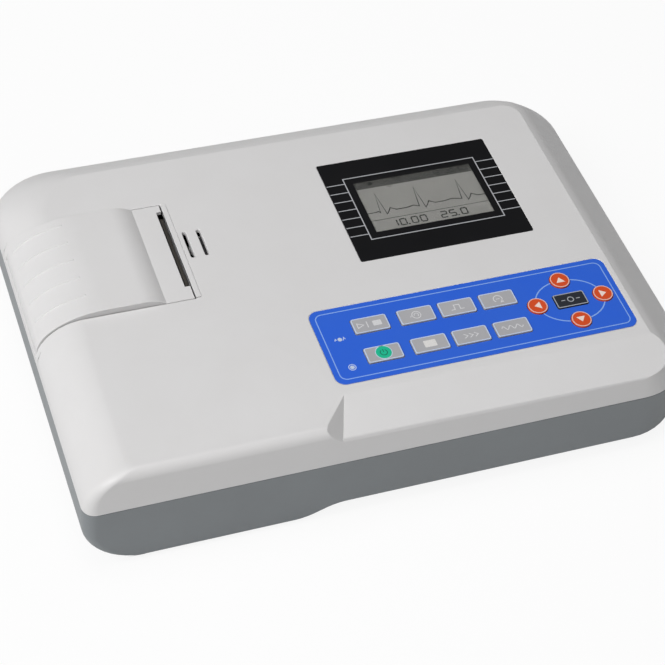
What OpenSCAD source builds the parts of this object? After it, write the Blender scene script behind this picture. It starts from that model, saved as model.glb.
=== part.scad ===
// Desktop heart-trace recorder: a white cover on a grey case, a chart printer
// under a raised door on the left, a display and a keypad on the right.
// Millimetres. The origin is on the table under the middle of the case,
// +X to the right, +Y to the back, +Z up.

/* [Case] */
// Width of the case at the seam
case_w = 314; // [308:1:330]
// Depth of the case at the seam
case_d = 224; // [221:1:236]
// Height of the flat deck above the table
deck_z = 64; // [63:0.5:70]
// Height of the seam between cover and case
seam_z = 40.5; // [40:0.5:43]
// Height of the underside of the deep left part
left_floor_z = 3.5; // [3:0.5:5]
// Height of the underside of the shallow right part
right_floor_z = 10; // [9:0.5:12]
// Where the step in the underside starts, from the left side
step_from = 107; // [106:0.5:110]
// Length of the sloping step in the underside
step_run = 15.5; // [13:0.5:18]
// Wall thickness of cover and case
wall = 2.4; // [2:0.1:2.8]
// Width of the rounded left shoulder
shoulder_w = 24; // [20:1:26]
// Width of the sloping right side
right_slope_w = 28.2; // [25:0.2:29]
// Width of the sloping back
back_slope_w = 30.6; // [26:0.2:31]
// Rounding between the deck and the front wall
front_fillet = 5; // [3:0.5:6]
// Large rounding under the left side of the case
left_low_r = 24; // [22:0.5:24.5]
// Width of the front slope, from its top edge to the front
notch_d = 21.4; // [18:0.2:22]
// Drop of the front slope where it meets the front
notch_drop = 8.3; // [6:0.1:9]
// Left end of the front slope, from the left side
notch_from = 128.3; // [126:0.1:132]
// Radius of the left feet
left_foot_r = 6; // [5:0.5:7]
// Radius of the right feet
right_foot_r = 8; // [7:0.5:9]

/* [Printer door] */
// Length of the door along the case's left side
door_len = 65.6; // [64:0.2:68]
// Middle of the door, from the middle of the case
door_y = 17.7; // [16:0.1:19]
// Height of the door's crest above the deck
door_rise = 3.4; // [2.5:0.1:4]
// Width of the door's rounded shoulder
door_round_w = 34; // [30:1:36]
// Distance from the left side to the foot of the door's slope
slope_foot = 64.5; // [63:0.1:65.5]
// Width of the door's curved slope
slope_w = 11.5; // [9:0.1:13]
// Thickness of the door
door_t = 2.2; // [1.8:0.1:2.4]
// Gap round the door
door_gap = 0.4; // [0.3:0.1:0.6]
// Radius of the door's hinge barrel
knuckle_r = 2.4; // [2.2:0.1:2.6]
// Radius of the hinge pin
hinge_pin_r = 1; // [0.8:0.1:1.2]
// Height of the hinge above the seam
hinge_up = 6; // [5.5:0.5:7]
// Number of grip ribs on the shoulder
rib_count = 5; // [3:1:6]
// Distance between the grip ribs
rib_pitch = 12.1; // [10:0.1:12.5]

/* [Printer] */
// Width of the chart paper
paper_w = 50; // [48:0.5:51]
// Middle of the paper, from the middle of the case
paper_y = 19.6; // [19:0.1:20]
// Radius of a full paper roll
roll_r = 19; // [15:0.5:19.2]
// Bore radius of the paper core
core_bore_r = 6; // [5:0.5:7]
// Wall of the paper core
core_t = 1.5; // [1:0.1:2]
// Distance from the left side to the paper slot
slot_from = 77.6; // [77:0.1:79]
// Width of the paper slot
slot_w = 3.2; // [2.8:0.1:3.6]
// Radius of the platen roller
platen_r = 5; // [4.5:0.1:5.2]
// Depth of the platen's axis below the deck
platen_drop = 10; // [9.6:0.1:10.6]
// Gear module of the paper feed
gear_m = 0.6; // [0.5:0.05:0.62]
// Teeth of the platen gear
platen_teeth = 20; // [18:2:20]
// Teeth of the idler gear
idler_teeth = 24; // [22:2:26]
// Teeth of the motor pinion
pinion_teeth = 10; // [10:2:12]
// Width of the gears
gear_w = 3.2; // [2.5:0.1:3.6]
// Thickness of the printer's side plates
plate_t = 1.6; // [1.2:0.1:2]
// Radius of the feed motor
motor_r = 8.5; // [7.5:0.1:8.6]
// Length of the feed motor
motor_len = 14; // [12:0.5:16]

/* [Display] */
// Width of the black display mask
mask_w = 93; // [88:0.5:95]
// Depth of the black display mask
mask_d = 70.8; // [66:0.2:72]
// Left edge of the mask, from the middle of the case
mask_x = 7.9; // [6:0.1:9]
// Back edge of the mask, from the middle of the case
mask_y = 59.1; // [57:0.1:61]
// Thickness of the mask
mask_t = 0.5; // [0.4:0.1:0.7]
// Width of the clear window
window_w = 64.3; // [60:0.1:66]
// Depth of the clear window
window_d = 36.4; // [34:0.1:38]
// Window's back edge, from the mask's back edge
window_in = 16.5; // [15:0.1:18]
// Thickness of the display glass
glass_t = 2.5; // [2:0.1:3]

/* [Keypad] */
// Width of the keypad overlay
pad_w = 155.9; // [154:0.1:157]
// Depth of the keypad overlay
pad_d = 47.4; // [46:0.1:48]
// Right edge of the overlay, from the right side
pad_from_right = 30.8; // [30:0.1:32]
// Front edge of the overlay, from the front
pad_from_front = 26.6; // [26:0.1:28]
// Corner radius of the overlay
pad_r = 5.1; // [4:0.1:6]
// Thickness of the overlay
pad_t = 0.35; // [0.3:0.05:0.5]
// Width of a function key
key_w = 17.9; // [16:0.1:18.2]
// Depth of a function key
key_d = 9.4; // [8:0.1:9.8]
// Left edges of the function keys, from the overlay's left edge
key_cols = [18.6, 42.2, 63.4, 84.9];
// Back edges of the function keys, from the overlay's back edge
key_rows = [9.9, 28.9];
// Radius of an arrow key
arrow_r = 5.1; // [4.5:0.1:5.2]
// Middle of the arrow ring, from the overlay's left edge
ring_x = 129; // [128.5:0.1:129.5]
// Middle of the arrow ring, from the overlay's back edge
ring_y = 23.7; // [23:0.1:24.2]
// Distance of the left and right keys from the ring's middle
ring_a = 17.6; // [17.4:0.1:18.6]
// Distance of the front and back keys from the ring's middle
ring_b = 13.5; // [13.2:0.1:14]
// Width of the centre key
set_w = 16.3; // [15:0.1:16.8]
// Depth of the centre key
set_d = 8.7; // [8:0.1:9]
// How far the keys stand above the overlay
key_proud = 0.7; // [0.5:0.1:1]
// Travel of a key
key_travel = 0.5; // [0.3:0.1:0.6]
// Gap round a key
key_gap = 0.25; // [0.2:0.05:0.3]
// Radius of the status lights
light_r = 1.1; // [0.9:0.1:1.3]
// Middles of the status lights, from the overlay's back edge
light_rows = [20, 38.1];

/* [Sockets] */
// Width of the mains inlet's opening
inlet_w = 24.4; // [24:0.1:25]
// Height of the mains inlet's opening
inlet_h = 16.6; // [16:0.1:17]
// Middle of the mains inlet, from the left side
inlet_from = 49; // [48:0.5:50]
// Height of the rear sockets above the table
rear_z = 24; // [23.5:0.5:25]
// Radius of the earth terminal's pin
earth_r = 3; // [2.5:0.1:3.5]
// Length of the earth terminal's pin
earth_len = 8; // [6:0.5:8.5]
// Distance between the patient socket's two fixing threads
socket_pitch = 33.3; // [32:0.1:34]
// Radius of the patient socket's fixing threads
socket_thread_r = 1.3; // [1.1:0.1:1.5]

/* [Hidden] */
$fn = 48;

// Working values
sliver = 0.01;
over = 1;
run_fit = 0.05;
seat_gap = 0.15;
arc_steps = 12;
left_x = -case_w / 2;
right_x = case_w / 2;
front_y = -case_d / 2;
back_y = case_d / 2;

// Cover
cover_h = deck_z - seam_z;
cover_layers = 12;
deck_ease = 3;
seam_r = [6.5, 35, 32, 37];
deck_r = [4, 14, 9, 25];
in_deck_z = deck_z - wall;
notch_a = [left_x + notch_from, front_y + notch_d, deck_z];
notch_b = [notch_a.x - 18, front_y, deck_z];
notch_c = [notch_a.x - 7, front_y, deck_z - notch_drop];

// Case
low_steps = 12;
left_in_z = left_floor_z + wall;
right_in_z = right_floor_z + wall;
step_x0 = left_x + step_from;
step_x1 = step_x0 + step_run;
post_r = 5.2;
screw_r = 1.5;
screw_head_r = 2.8;
screw_tip_z = seam_z + 6;
screw_seat_z = seam_z - 10;
screw_spots = [
    [left_x + 19, -24], [left_x + 17, back_y - 34], [-10, front_y + 20],
    [right_x - 21, front_y + 28], [right_x - 27, back_y - 15], [-12, back_y - 15]
];
foot_left = left_x + left_low_r + left_foot_r + 0.5;
foot_right = right_x - 45;
foot_in = 21;

// Battery bay
batt_x0 = foot_left + left_foot_r + 4.5;
batt_x1 = batt_x0 + 58;
batt_y0 = front_y + 17;
batt_y1 = batt_y0 + 55;
batt_h = 24;
hatch_rim = 4;
hatch_t = 1.2;
grip_in = 20;
screw_room = 4;
hatch_screw = [batt_x1 + 1.8, (batt_y0 + batt_y1) / 2];

// Printer door
door_y0 = door_y - door_len / 2;
door_y1 = door_y + door_len / 2;
hinge_x = left_x + 3.3;
hinge_z = seam_z + hinge_up;
round_cx = hinge_x - knuckle_r + door_round_w;
crest_z = deck_z + door_rise;
foot_x = left_x + slope_foot;
crest_x = foot_x - slope_w;
slope_r = (slope_w * slope_w + door_rise * door_rise) / (2 * door_rise);
slope_turn = asin(slope_w / slope_r);
slot_x0 = left_x + slot_from - slot_w / 2;
slot_x1 = slot_x0 + slot_w;
tear_gap = 0.6;
door_edge_x = slot_x1 - tear_gap;
mouth_w = paper_w + 2.5;
tear_w = 2.6;
tear_deep = 1.2;
tear_proud = 0.4;
rib_w = 1;
rib_h = 0.45;
cheek_t = 2;

// Printer
side_in = 1.2;
plate_y0 = paper_y - paper_w / 2 - 5.2;
plate_y1 = paper_y + paper_w / 2 + 5.2;
platen_x = slot_x0 + slot_w / 2 - platen_r;
platen_z = deck_z - platen_drop;
platen_len = paper_w + 2;
shaft_r = 2;
journal_r = 1.5;
bush_r = 3;
gear_y = plate_y1 + plate_t + 0.8;
idler_z = platen_z - gear_m * (platen_teeth + idler_teeth) / 2;
motor_z = idler_z - gear_m * (idler_teeth + pinion_teeth) / 2;
idler_pin_r = 1.2;
motor_shaft_r = 1;
frame_x0 = platen_x - motor_r - 2;
frame_x1 = slot_x1 + 7.4;
frame_z0 = motor_z - motor_r - 2.4;
frame_top = platen_z + platen_r;
cheek_deep = deck_z - frame_top - 0.6;
head_x = platen_x + platen_r + 0.3;
head_t = 1.5;
head_top = platen_z + 5;
head_h = 16;
sink_t = 3.6;
post_in = 4;

// Paper bay
tray_t = 1.6;
tray_gap = 1.9;
roll_x = left_x + 35.5;
roll_z = left_in_z + tray_t + roll_r + 1;
tray_x0 = roll_x - roll_r - tray_gap - tray_t;
tray_x1 = roll_x + roll_r + tray_gap + tray_t;
tray_ease = left_x + left_low_r + 0.5 - tray_x0;
tray_y0 = paper_y - paper_w / 2 - 1.2 - tray_t;
tray_y1 = paper_y + paper_w / 2 + 1.2 + tray_t;
tray_top = seam_z + 15;
tray_low_top = seam_z - 6;
spindle_end_r = 3;

// Beeper
grille_x = [slot_x1 + 6.2, slot_x1 + 13.4];
grille_y = 20.4;
grille_len = 18;
grille_w = 2;
beeper_x = slot_x1 + 14.4;
beeper_r = 6;
beeper_h = 8;

// Display
mask_x1 = mask_x + mask_w;
mask_y0 = mask_y - mask_d;
window_x = mask_x + (mask_w - window_w) / 2;
window_y1 = mask_y - window_in;
window_y0 = window_y1 - window_d;
glass_edge = 1.8;
glass_top = deck_z - mask_t - 0.2;
bezel_edge = 6;
bezel_t = 2;
board_t = 1.6;
display_post_r = 2.2;
display_posts = [for (x = [window_x - 10, window_x + window_w + 10])
                 for (y = [window_y0 - 9, window_y1 + 9]) [x, y]];
lcd_board_z = in_deck_z - bezel_t - board_t;

// Keypad
pad_x1 = right_x - pad_from_right;
pad_x0 = pad_x1 - pad_w;
pad_y0 = front_y + pad_from_front;
pad_y1 = pad_y0 + pad_d;
ring_cx = pad_x0 + ring_x;
ring_cy = pad_y1 - ring_y;
flange = 1;
flange_t = 1;
key_hang = 0.2;
key_low_z = in_deck_z - key_hang - flange_t;
dome_h = 0.5;
dome_r = 3.5;
dome_gap = 0.15;
sheet_t = 0.2;
sheet_z = key_low_z - key_travel - dome_gap - dome_h - sheet_t;
pad_board_z = sheet_z - board_t;
pad_posts = [for (x = [pad_x0 + 5, pad_x1 - 5]) for (y = [pad_y0 + 4, pad_y1 - 4]) [x, y]];
light_x = pad_x0 + 10.2;
key_corner = 0.8;

// Boards and sockets
board_low_z = right_in_z + 5;
main_x0 = -26;
main_x1 = right_x - 11;
main_y0 = front_y + 42;
main_y1 = back_y - 22;
main_posts = [[main_x0 + 6, main_y0 + 6], [main_x0 + 6, main_y1 - 6],
              [main_x1 - 26, main_y0 + 6], [main_x1 - 26, main_y1 - 6]];
power_x0 = left_x + 29;
power_x1 = left_x + 101;
power_y0 = back_y - 52;
power_y1 = back_y - 22;
power_z = left_in_z + 6;
power_posts = [[power_x0 + 4, power_y0 + 4], [power_x0 + 4, power_y1 - 4],
               [power_x1 - 4, power_y0 + 4], [power_x1 - 4, power_y1 - 4]];
board_cut = 20;
cap_r = 7;
cap_h = 16;
coil_in = 22;
inlet_x = left_x + inlet_from;
fuse_x = [inlet_x + 26, inlet_x + 41];
fuse_r = 5.6;
earth_x = inlet_x + 61;
pocket_r = 8;
pocket_deep = earth_len + 1;
earth_neck_r = earth_r - 0.4;
earth_neck = 0.3;
port_x = 10;
port_w = 12;
port_h = 11;
socket_y = -10;
socket_z = board_low_z + board_t + 7.2;
nose_w = 25.3;
nose_h = 8.5;
plug_room = 1.6;
hex_r = 2.6;
pilot_r = 1.25;
small_screw_r = 1.2;

// Points along a circular arc, or its centre alone where the radius is 0
function arc_pts(cx, cy, r, a0, a1) = r == 0 ? [[cx, cy]] :
    [for (i = [0:arc_steps]) let (a = a0 + (a1 - a0) * i / arc_steps)
        [cx + r * cos(a), cy + r * sin(a)]];

// Rounded rectangle; r lists the front left, front right, back right and back left radius
function plate_pts(x0, y0, x1, y1, r) = concat(
    arc_pts(x0 + r[0], y0 + r[0], r[0], 180, 270),
    arc_pts(x1 - r[1], y0 + r[1], r[1], 270, 360),
    arc_pts(x1 - r[2], y1 - r[2], r[2], 0, 90),
    arc_pts(x0 + r[3], y1 - r[3], r[3], 90, 180));

function reversed(p) = [for (i = [len(p) - 1:-1:0]) p[i]];

module plate(x0, y0, x1, y1, r, z0, z1)
    translate([0, 0, z0]) linear_extrude(z1 - z0) polygon(plate_pts(x0, y0, x1, y1, [r, r, r, r]));

module block(x0, x1, y0, y1, z0, z1)
    translate([x0, y0, z0]) cube([x1 - x0, y1 - y0, z1 - z0]);

module along_y(x, z, r, y0, y1)
    translate([x, y0, z]) rotate([-90, 0, 0]) cylinder(r = r, h = y1 - y0);

module upright(p, r, z0, z1)
    translate([p.x, p.y, z0]) cylinder(r = r, h = z1 - z0);

// Outer form of the cover, g inside its surface
function slope_in(w, t) = (w - deck_ease) * t + deck_ease * pow(max(0, (t - 0.85) / 0.15), 2);
function front_in(t) = let (u = max(0, (t * cover_h - (cover_h - front_fillet)) / front_fillet))
    0.8 * t + front_fillet * (1 - sqrt(1 - u * u));
function cover_pts(t, a, g) = plate_pts(
    left_x + g + shoulder_w * (1 - cos(a)), front_y + g + front_in(t),
    right_x - g - slope_in(right_slope_w, t), back_y - g - slope_in(back_slope_w, t),
    [for (i = [0:3]) max(1, seam_r[i] + (deck_r[i] - seam_r[i]) * t - g)]);

module cover_form(g) {
    low = g > 0 ? over : 0;
    hull() for (i = [0:cover_layers]) {
        a = 90 * i / cover_layers;
        z = i == 0 ? seam_z - low : seam_z + (cover_h - g) * sin(a) - sliver;
        translate([0, 0, z]) linear_extrude(sliver) polygon(cover_pts(sin(a), a, g));
    }
}

// The space in front of and above the front slope
module notch_cut(g) {
    reach = 2;
    far_b = notch_a + (notch_b - notch_a) * reach;
    far_c = notch_a + (notch_c - notch_a) * reach;
    beyond = right_x + 30;
    base = [notch_a, far_b, far_c, [beyond, notch_a.y, notch_a.z], [beyond, far_c.y, far_c.z]];
    lifted = [notch_a, far_b, [beyond, notch_a.y, notch_a.z], [beyond, far_c.y, notch_a.z]];
    translate([-g, g, -g]) hull() {
        for (p = base) translate(p) cube(sliver);
        for (p = lifted) translate(p + [0, 0, 10]) cube(sliver);
    }
}

// Section of the door, g inside its surface, as points in X and Z
function door_line(g) = concat(
    [for (i = [0:14]) let (a = 180 - 90 * i / 14)
        [round_cx + (door_round_w - g) * cos(a), hinge_z + (crest_z - hinge_z - g) * sin(a)]],
    [for (i = [0:10]) let (a = slope_turn * i / 10)
        [crest_x + (slope_r - g) * sin(a), crest_z - slope_r + (slope_r - g) * cos(a)]],
    [[door_edge_x, deck_z - g]]);

module door_slice(g0, g1, y0, y1)
    translate([0, y1, 0]) rotate([90, 0, 0]) linear_extrude(y1 - y0)
        polygon(concat(door_line(g0), reversed(door_line(g1))));

module top_cover() color("whitesmoke") difference() {
    union() {
        difference() {
            cover_form(0);
            difference() {
                cover_form(wall);
                notch_cut(wall);
            }
        }
        intersection() {
            cover_form(wall / 2);
            union() {
                for (p = screw_spots) upright(p, post_r - 1.4, seam_z, deck_z);
                for (p = display_posts) upright(p, display_post_r, lcd_board_z + board_t, deck_z);
                for (p = pad_posts) upright(p, display_post_r, pad_board_z + board_t, deck_z);
                translate([beeper_x, grille_y, in_deck_z - 3]) cylinder(r = beeper_r + 1.4, h = 4);
            }
        }
        for (y = [door_y0 - door_gap - post_in, door_y1 + door_gap])
            along_y(hinge_x, hinge_z, knuckle_r, y, y + post_in);
    }
    notch_cut(0);
    for (p = screw_spots) upright(p, screw_r + run_fit, seam_z - over, screw_tip_z + 0.5);
    for (p = display_posts) upright(p, pilot_r, lcd_board_z, lcd_board_z + board_t + 3);
    for (p = pad_posts) upright(p, pilot_r, pad_board_z, pad_board_z + board_t + 3);
    // Door, tear bar and hinge
    block(left_x - over, slot_x1, door_y0 - door_gap, door_y1 + door_gap,
          hinge_z - knuckle_r - door_gap, deck_z + over);
    block(slot_x1 - over, slot_x1 + tear_w, door_y0, door_y1, deck_z - tear_deep, deck_z + over);
    along_y(hinge_x, hinge_z, hinge_pin_r + run_fit / 2,
            door_y0 - door_gap - post_in + 0.5, door_y1 + door_gap + post_in - 0.5);
    // Beeper slots and seat
    for (x = grille_x)
        plate(x - grille_w / 2, grille_y - grille_len / 2, x + grille_w / 2,
              grille_y + grille_len / 2, grille_w / 2 - sliver, in_deck_z - 1, deck_z + over);
    translate([beeper_x, grille_y, in_deck_z - 4]) cylinder(r = beeper_r + run_fit, h = 4);
    // Display recess and window
    plate(mask_x - seat_gap, mask_y0 - seat_gap, mask_x1 + seat_gap, mask_y + seat_gap,
          1, deck_z - mask_t, deck_z + over);
    block(window_x - glass_edge - 0.3, window_x + window_w + glass_edge + 0.3,
          window_y0 - glass_edge - 0.3, window_y1 + glass_edge + 0.3, in_deck_z - over, deck_z);
    // Keypad recess, key holes and light holes
    plate(pad_x0 - seat_gap, pad_y0 - seat_gap, pad_x1 + seat_gap, pad_y1 + seat_gap,
          pad_r, deck_z - pad_t, deck_z + over);
    key_holes(in_deck_z - over, deck_z + over);
    light_holes(in_deck_z - over, deck_z + over);
}

// The deep left part of the case, g inside its surface: its left wall curves under
module left_form(g) {
    r = left_low_r - g;
    hull() for (i = [0:low_steps + 1]) {
        a = min(90, 90 * i / low_steps);
        z = i > low_steps ? seam_z + (g > 0 ? over : -sliver) : left_floor_z + g + r * (1 - cos(a));
        translate([0, 0, z]) linear_extrude(sliver) polygon(plate_pts(
            left_x + g + r * (1 - sin(a)), front_y + g, step_x0, back_y - g,
            [seam_r[0] - g, 0, 0, seam_r[3] - g]));
    }
}

module low_form(g) {
    top = seam_z + (g > 0 ? over : 0);
    left_form(g);
    // The step, which overlaps both parts by a sliver
    translate([0, back_y - g, 0]) rotate([90, 0, 0]) linear_extrude(case_d - 2 * g) polygon([
        [step_x0 - sliver, left_floor_z + g], [step_x0, left_floor_z + g],
        [step_x1, right_floor_z + g], [step_x1 + sliver, right_floor_z + g],
        [step_x1 + sliver, top], [step_x0 - sliver, top]]);
    translate([0, 0, right_floor_z + g]) linear_extrude(top - right_floor_z - g)
        polygon(plate_pts(step_x1, front_y + g, right_x - g, back_y - g,
                          [0, seam_r[1] - g, seam_r[2] - g, 0]));
}

// Height of the underside at x
function floor_at(x) = x < step_x0 ? left_floor_z : right_floor_z;

module bottom_case() color("slategray") difference() {
    union() {
        difference() {
            low_form(0);
            low_form(wall);
        }
        intersection() {
            low_form(wall * 0.6);
            for (p = screw_spots) upright(p, post_r, floor_at(p.x) + 1, seam_z);
        }
        for (p = main_posts) upright(p, 3, right_floor_z + 1, board_low_z);
        for (p = power_posts) upright(p, 3, left_floor_z + 1, power_z);
        // Posts under the printer frame and round the hatch screw
        for (y = [plate_y0 + 6, plate_y1 - 6])
            upright([platen_x, y], 4, left_floor_z + 1, frame_z0);
        upright(hatch_screw, 3, left_floor_z + 1, left_in_z + 5);
        // Thicker wall round the mains inlet and a pocket for the earth terminal
        block(inlet_x - inlet_w / 2 - 4.2, inlet_x + inlet_w / 2 + 4.2, back_y - 4.4, back_y - 1,
              rear_z - inlet_h / 2 - 5.7, rear_z + inlet_h / 2 + 5.7);
        along_y(earth_x, rear_z, pocket_r + 1.6, back_y - pocket_deep - 2, back_y - 1);
    }
    for (p = screw_spots) {
        upright(p, screw_r + 0.1, 0, seam_z + over);
        upright(p, screw_head_r + 0.4, 0, screw_seat_z);
    }
    for (p = main_posts) upright(p, pilot_r, right_in_z + 1, board_low_z + over);
    for (p = power_posts) upright(p, pilot_r, left_in_z + 1, power_z + over);
    // Battery hatch: a wide recess from below and a smaller way through
    plate(batt_x0 - hatch_rim, batt_y0 - hatch_rim, batt_x1 + hatch_rim + 2, batt_y1 + hatch_rim,
          2, 0, left_floor_z + hatch_t + 0.1);
    plate(batt_x0 - 1, batt_y0 - 1, batt_x1 - 3, batt_y1 + 1, 2, left_floor_z, left_in_z + over);
    upright(hatch_screw, pilot_r, left_floor_z, left_in_z + 4);
    // Mains inlet: a shallow recess for the flange and the way through
    block(inlet_x - inlet_w / 2 - 3.6, inlet_x + inlet_w / 2 + 3.6, back_y - 1.8, back_y + over,
          rear_z - inlet_h / 2 - 3.6, rear_z + inlet_h / 2 + 3.6);
    block(inlet_x - inlet_w / 2 - 1.8, inlet_x + inlet_w / 2 + 1.8, back_y - 6, back_y + over,
          rear_z - inlet_h / 2 - 1.8, rear_z + inlet_h / 2 + 1.8);
    for (x = fuse_x) along_y(x, rear_z, fuse_r + 0.1, back_y - 6, back_y + over);
    along_y(earth_x, rear_z, pocket_r, back_y - pocket_deep, back_y + over);
    along_y(earth_x, rear_z, earth_neck_r + 0.1, back_y - pocket_deep - 3, back_y);
    block(port_x - port_w / 2 - 0.3, port_x + port_w / 2 + 0.3, back_y - 6, back_y + over,
          board_low_z + board_t - 0.3, board_low_z + board_t + port_h + 0.3);
    // Patient socket: its nose and two fixing posts
    block(right_x - 6, right_x + over,
          socket_y - nose_w / 2 - plug_room, socket_y + nose_w / 2 + plug_room,
          socket_z - nose_h / 2 - plug_room, socket_z + nose_h / 2 + plug_room);
    for (s = [-1, 1]) translate([right_x - 6, socket_y + s * socket_pitch / 2, socket_z])
        rotate([0, 90, 0]) cylinder(r = hex_r + 0.2, h = 6 + 2 * over);
}

module battery_door() color("slategray") difference() {
    union() {
        plate(batt_x0 - hatch_rim + 0.3, batt_y0 - hatch_rim + 0.3,
              batt_x1 + hatch_rim + 1.7, batt_y1 + hatch_rim - 0.3,
              1.8, left_floor_z, left_floor_z + hatch_t);
        plate(batt_x0 - 0.7, batt_y0 - 0.7, batt_x1 - 3.3, batt_y1 + 0.7,
              1.8, left_floor_z + hatch_t - sliver, left_in_z);
    }
    upright(hatch_screw, small_screw_r + 0.1, 0, left_in_z);
    for (i = [0:4]) block(batt_x0 + 4 + 2.4 * i, batt_x0 + 5.2 + 2.4 * i,
        batt_y0 + grip_in, batt_y1 - grip_in, 0, left_floor_z + 0.5);
}

module battery_pack() color("royalblue")
    plate(batt_x0, batt_y0, batt_x1 - screw_room, batt_y1, 3, left_in_z, left_in_z + batt_h);

// A pan-head screw that points up, with a cross cut in its head
module screw_up(p, r, head_r, head_z, tip_z) difference() {
    union() {
        upright(p, r, head_z - sliver, tip_z);
        upright(p, head_r, head_z - head_r * 0.7, head_z);
    }
    for (a = [0, 90]) translate([p.x, p.y, head_z - head_r * 0.7]) rotate([0, 0, a])
        cube([head_r * 1.2, 0.6, 1], center = true);
}

module case_screws() color("silver") {
    for (p = screw_spots) screw_up(p, screw_r, screw_head_r, screw_seat_z, screw_tip_z);
    screw_up(hatch_screw, small_screw_r, 2.2, left_floor_z, left_in_z + 3.6);
}

module board_screws() color("silver") {
    for (p = display_posts) screw_up(p, small_screw_r, 2, lcd_board_z, lcd_board_z + board_t + 2.6);
    for (p = pad_posts) screw_up(p, small_screw_r, 2, pad_board_z, pad_board_z + board_t + 2.6);
    for (p = main_posts) mirror_at(board_low_z + board_t)
        screw_up(p, small_screw_r, 2, board_low_z + board_t, board_low_z + board_t + 5);
    for (p = power_posts) mirror_at(power_z + board_t)
        screw_up(p, small_screw_r, 2, power_z + board_t, power_z + board_t + 5);
}

module mirror_at(z) translate([0, 0, z]) mirror([0, 0, 1]) translate([0, 0, -z]) children();

module left_feet() color("dimgray")
    for (y = [front_y + foot_in, back_y - foot_in])
        upright([foot_left, y], left_foot_r, 0, left_floor_z);

module right_feet() color("dimgray")
    for (y = [front_y + foot_in, back_y - foot_in])
        upright([foot_right, y], right_foot_r, 0, right_floor_z);

// Display
module display_mask() color("black") difference() {
    plate(mask_x, mask_y0, mask_x1, mask_y, 1, deck_z - mask_t, deck_z);
    block(window_x, window_x + window_w, window_y0, window_y1, deck_z - over, deck_z + over);
}

module display_lens() color("lightgray")
    block(window_x, window_x + window_w, window_y0, window_y1, deck_z - mask_t, deck_z);

module lcd_glass() color("darkseagreen")
    block(window_x - glass_edge, window_x + window_w + glass_edge,
          window_y0 - glass_edge, window_y1 + glass_edge, glass_top - glass_t, glass_top);

module lcd_bezel() color("gray") difference() {
    block(window_x - bezel_edge, window_x + window_w + bezel_edge,
          window_y0 - bezel_edge, window_y1 + bezel_edge, in_deck_z - bezel_t, in_deck_z);
    block(window_x, window_x + window_w, window_y0, window_y1, 0, deck_z);
    block(window_x - glass_edge - 0.1, window_x + window_w + glass_edge + 0.1,
          window_y0 - glass_edge - 0.1, window_y1 + glass_edge + 0.1, glass_top - glass_t, deck_z);
}

module display_board() color("darkgreen") difference() {
    union() {
        plate(window_x - 13, window_y0 - 12, window_x + window_w + 13, window_y1 + 12,
              1, lcd_board_z, lcd_board_z + board_t);
        block(window_x + 4, window_x + 16, window_y0, window_y0 + 4, lcd_board_z - 3, lcd_board_z);
    }
    for (p = display_posts) upright(p, small_screw_r + 0.1, lcd_board_z - over, deck_z);
}

// Keypad
function key_mid(col, row) =
    [pad_x0 + key_cols[col] + key_w / 2, pad_y1 - key_rows[row] - key_d / 2];
arrow_mids = [[ring_cx, ring_cy + ring_b], [ring_cx, ring_cy - ring_b],
              [ring_cx - ring_a, ring_cy], [ring_cx + ring_a, ring_cy]];

module pad_box(mid, w, d, r, z0, z1)
    plate(mid.x - w / 2, mid.y - d / 2, mid.x + w / 2, mid.y + d / 2, r, z0, z1);

module key_holes(z0, z1) {
    for (col = [0:3]) for (row = [0:1])
        pad_box(key_mid(col, row), key_w + 2 * key_gap, key_d + 2 * key_gap,
                key_corner + key_gap, z0, z1);
    for (p = arrow_mids) upright(p, arrow_r + key_gap, z0, z1);
    pad_box([ring_cx, ring_cy], set_w + 2 * key_gap, set_d + 2 * key_gap,
            key_corner + key_gap, z0, z1);
}

module light_holes(z0, z1)
    for (y = light_rows) upright([light_x, pad_y1 - y], light_r + run_fit, z0, z1);

module keypad_overlay() color("royalblue") difference() {
    plate(pad_x0, pad_y0, pad_x1, pad_y1, pad_r, deck_z - pad_t, deck_z);
    key_holes(deck_z - over, deck_z + over);
    light_holes(deck_z - over, deck_z + over);
}

module status_lights() color("lightcyan")
    for (y = light_rows) upright([light_x, pad_y1 - y], light_r, pad_board_z + board_t, deck_z);

module dome_sheet() color("lightgray") {
    difference() {
        plate(pad_x0 + 13, pad_y0 + 2, pad_x1 - 9, pad_y1 - 2, 1, sheet_z, sheet_z + sheet_t);
    }
    mids = concat([for (col = [0:3]) for (row = [0:1]) key_mid(col, row)],
                  arrow_mids, [[ring_cx, ring_cy]]);
    for (p = mids) upright(p, dome_r, sheet_z + sheet_t - sliver, sheet_z + sheet_t + dome_h);
}

module keypad_board() color("darkgreen") difference() {
    plate(pad_x0 + 1, pad_y0 + 0.6, pad_x1 - 1, pad_y1 - 0.6, 1, pad_board_z, pad_board_z + board_t);
    for (p = pad_posts) upright(p, small_screw_r + 0.1, pad_board_z - over, deck_z);
}

// A key: a cap above a flange that hangs just under the deck
module box_key(mid, w, d) {
    pad_box(mid, w, d, key_corner, key_low_z, deck_z + key_proud);
    pad_box(mid, w + 2 * flange, d + 2 * flange, key_corner, key_low_z, key_low_z + flange_t);
}

module round_key(mid) {
    upright(mid, arrow_r, key_low_z, deck_z + key_proud);
    upright(mid, arrow_r + flange, key_low_z, key_low_z + flange_t);
}

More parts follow.
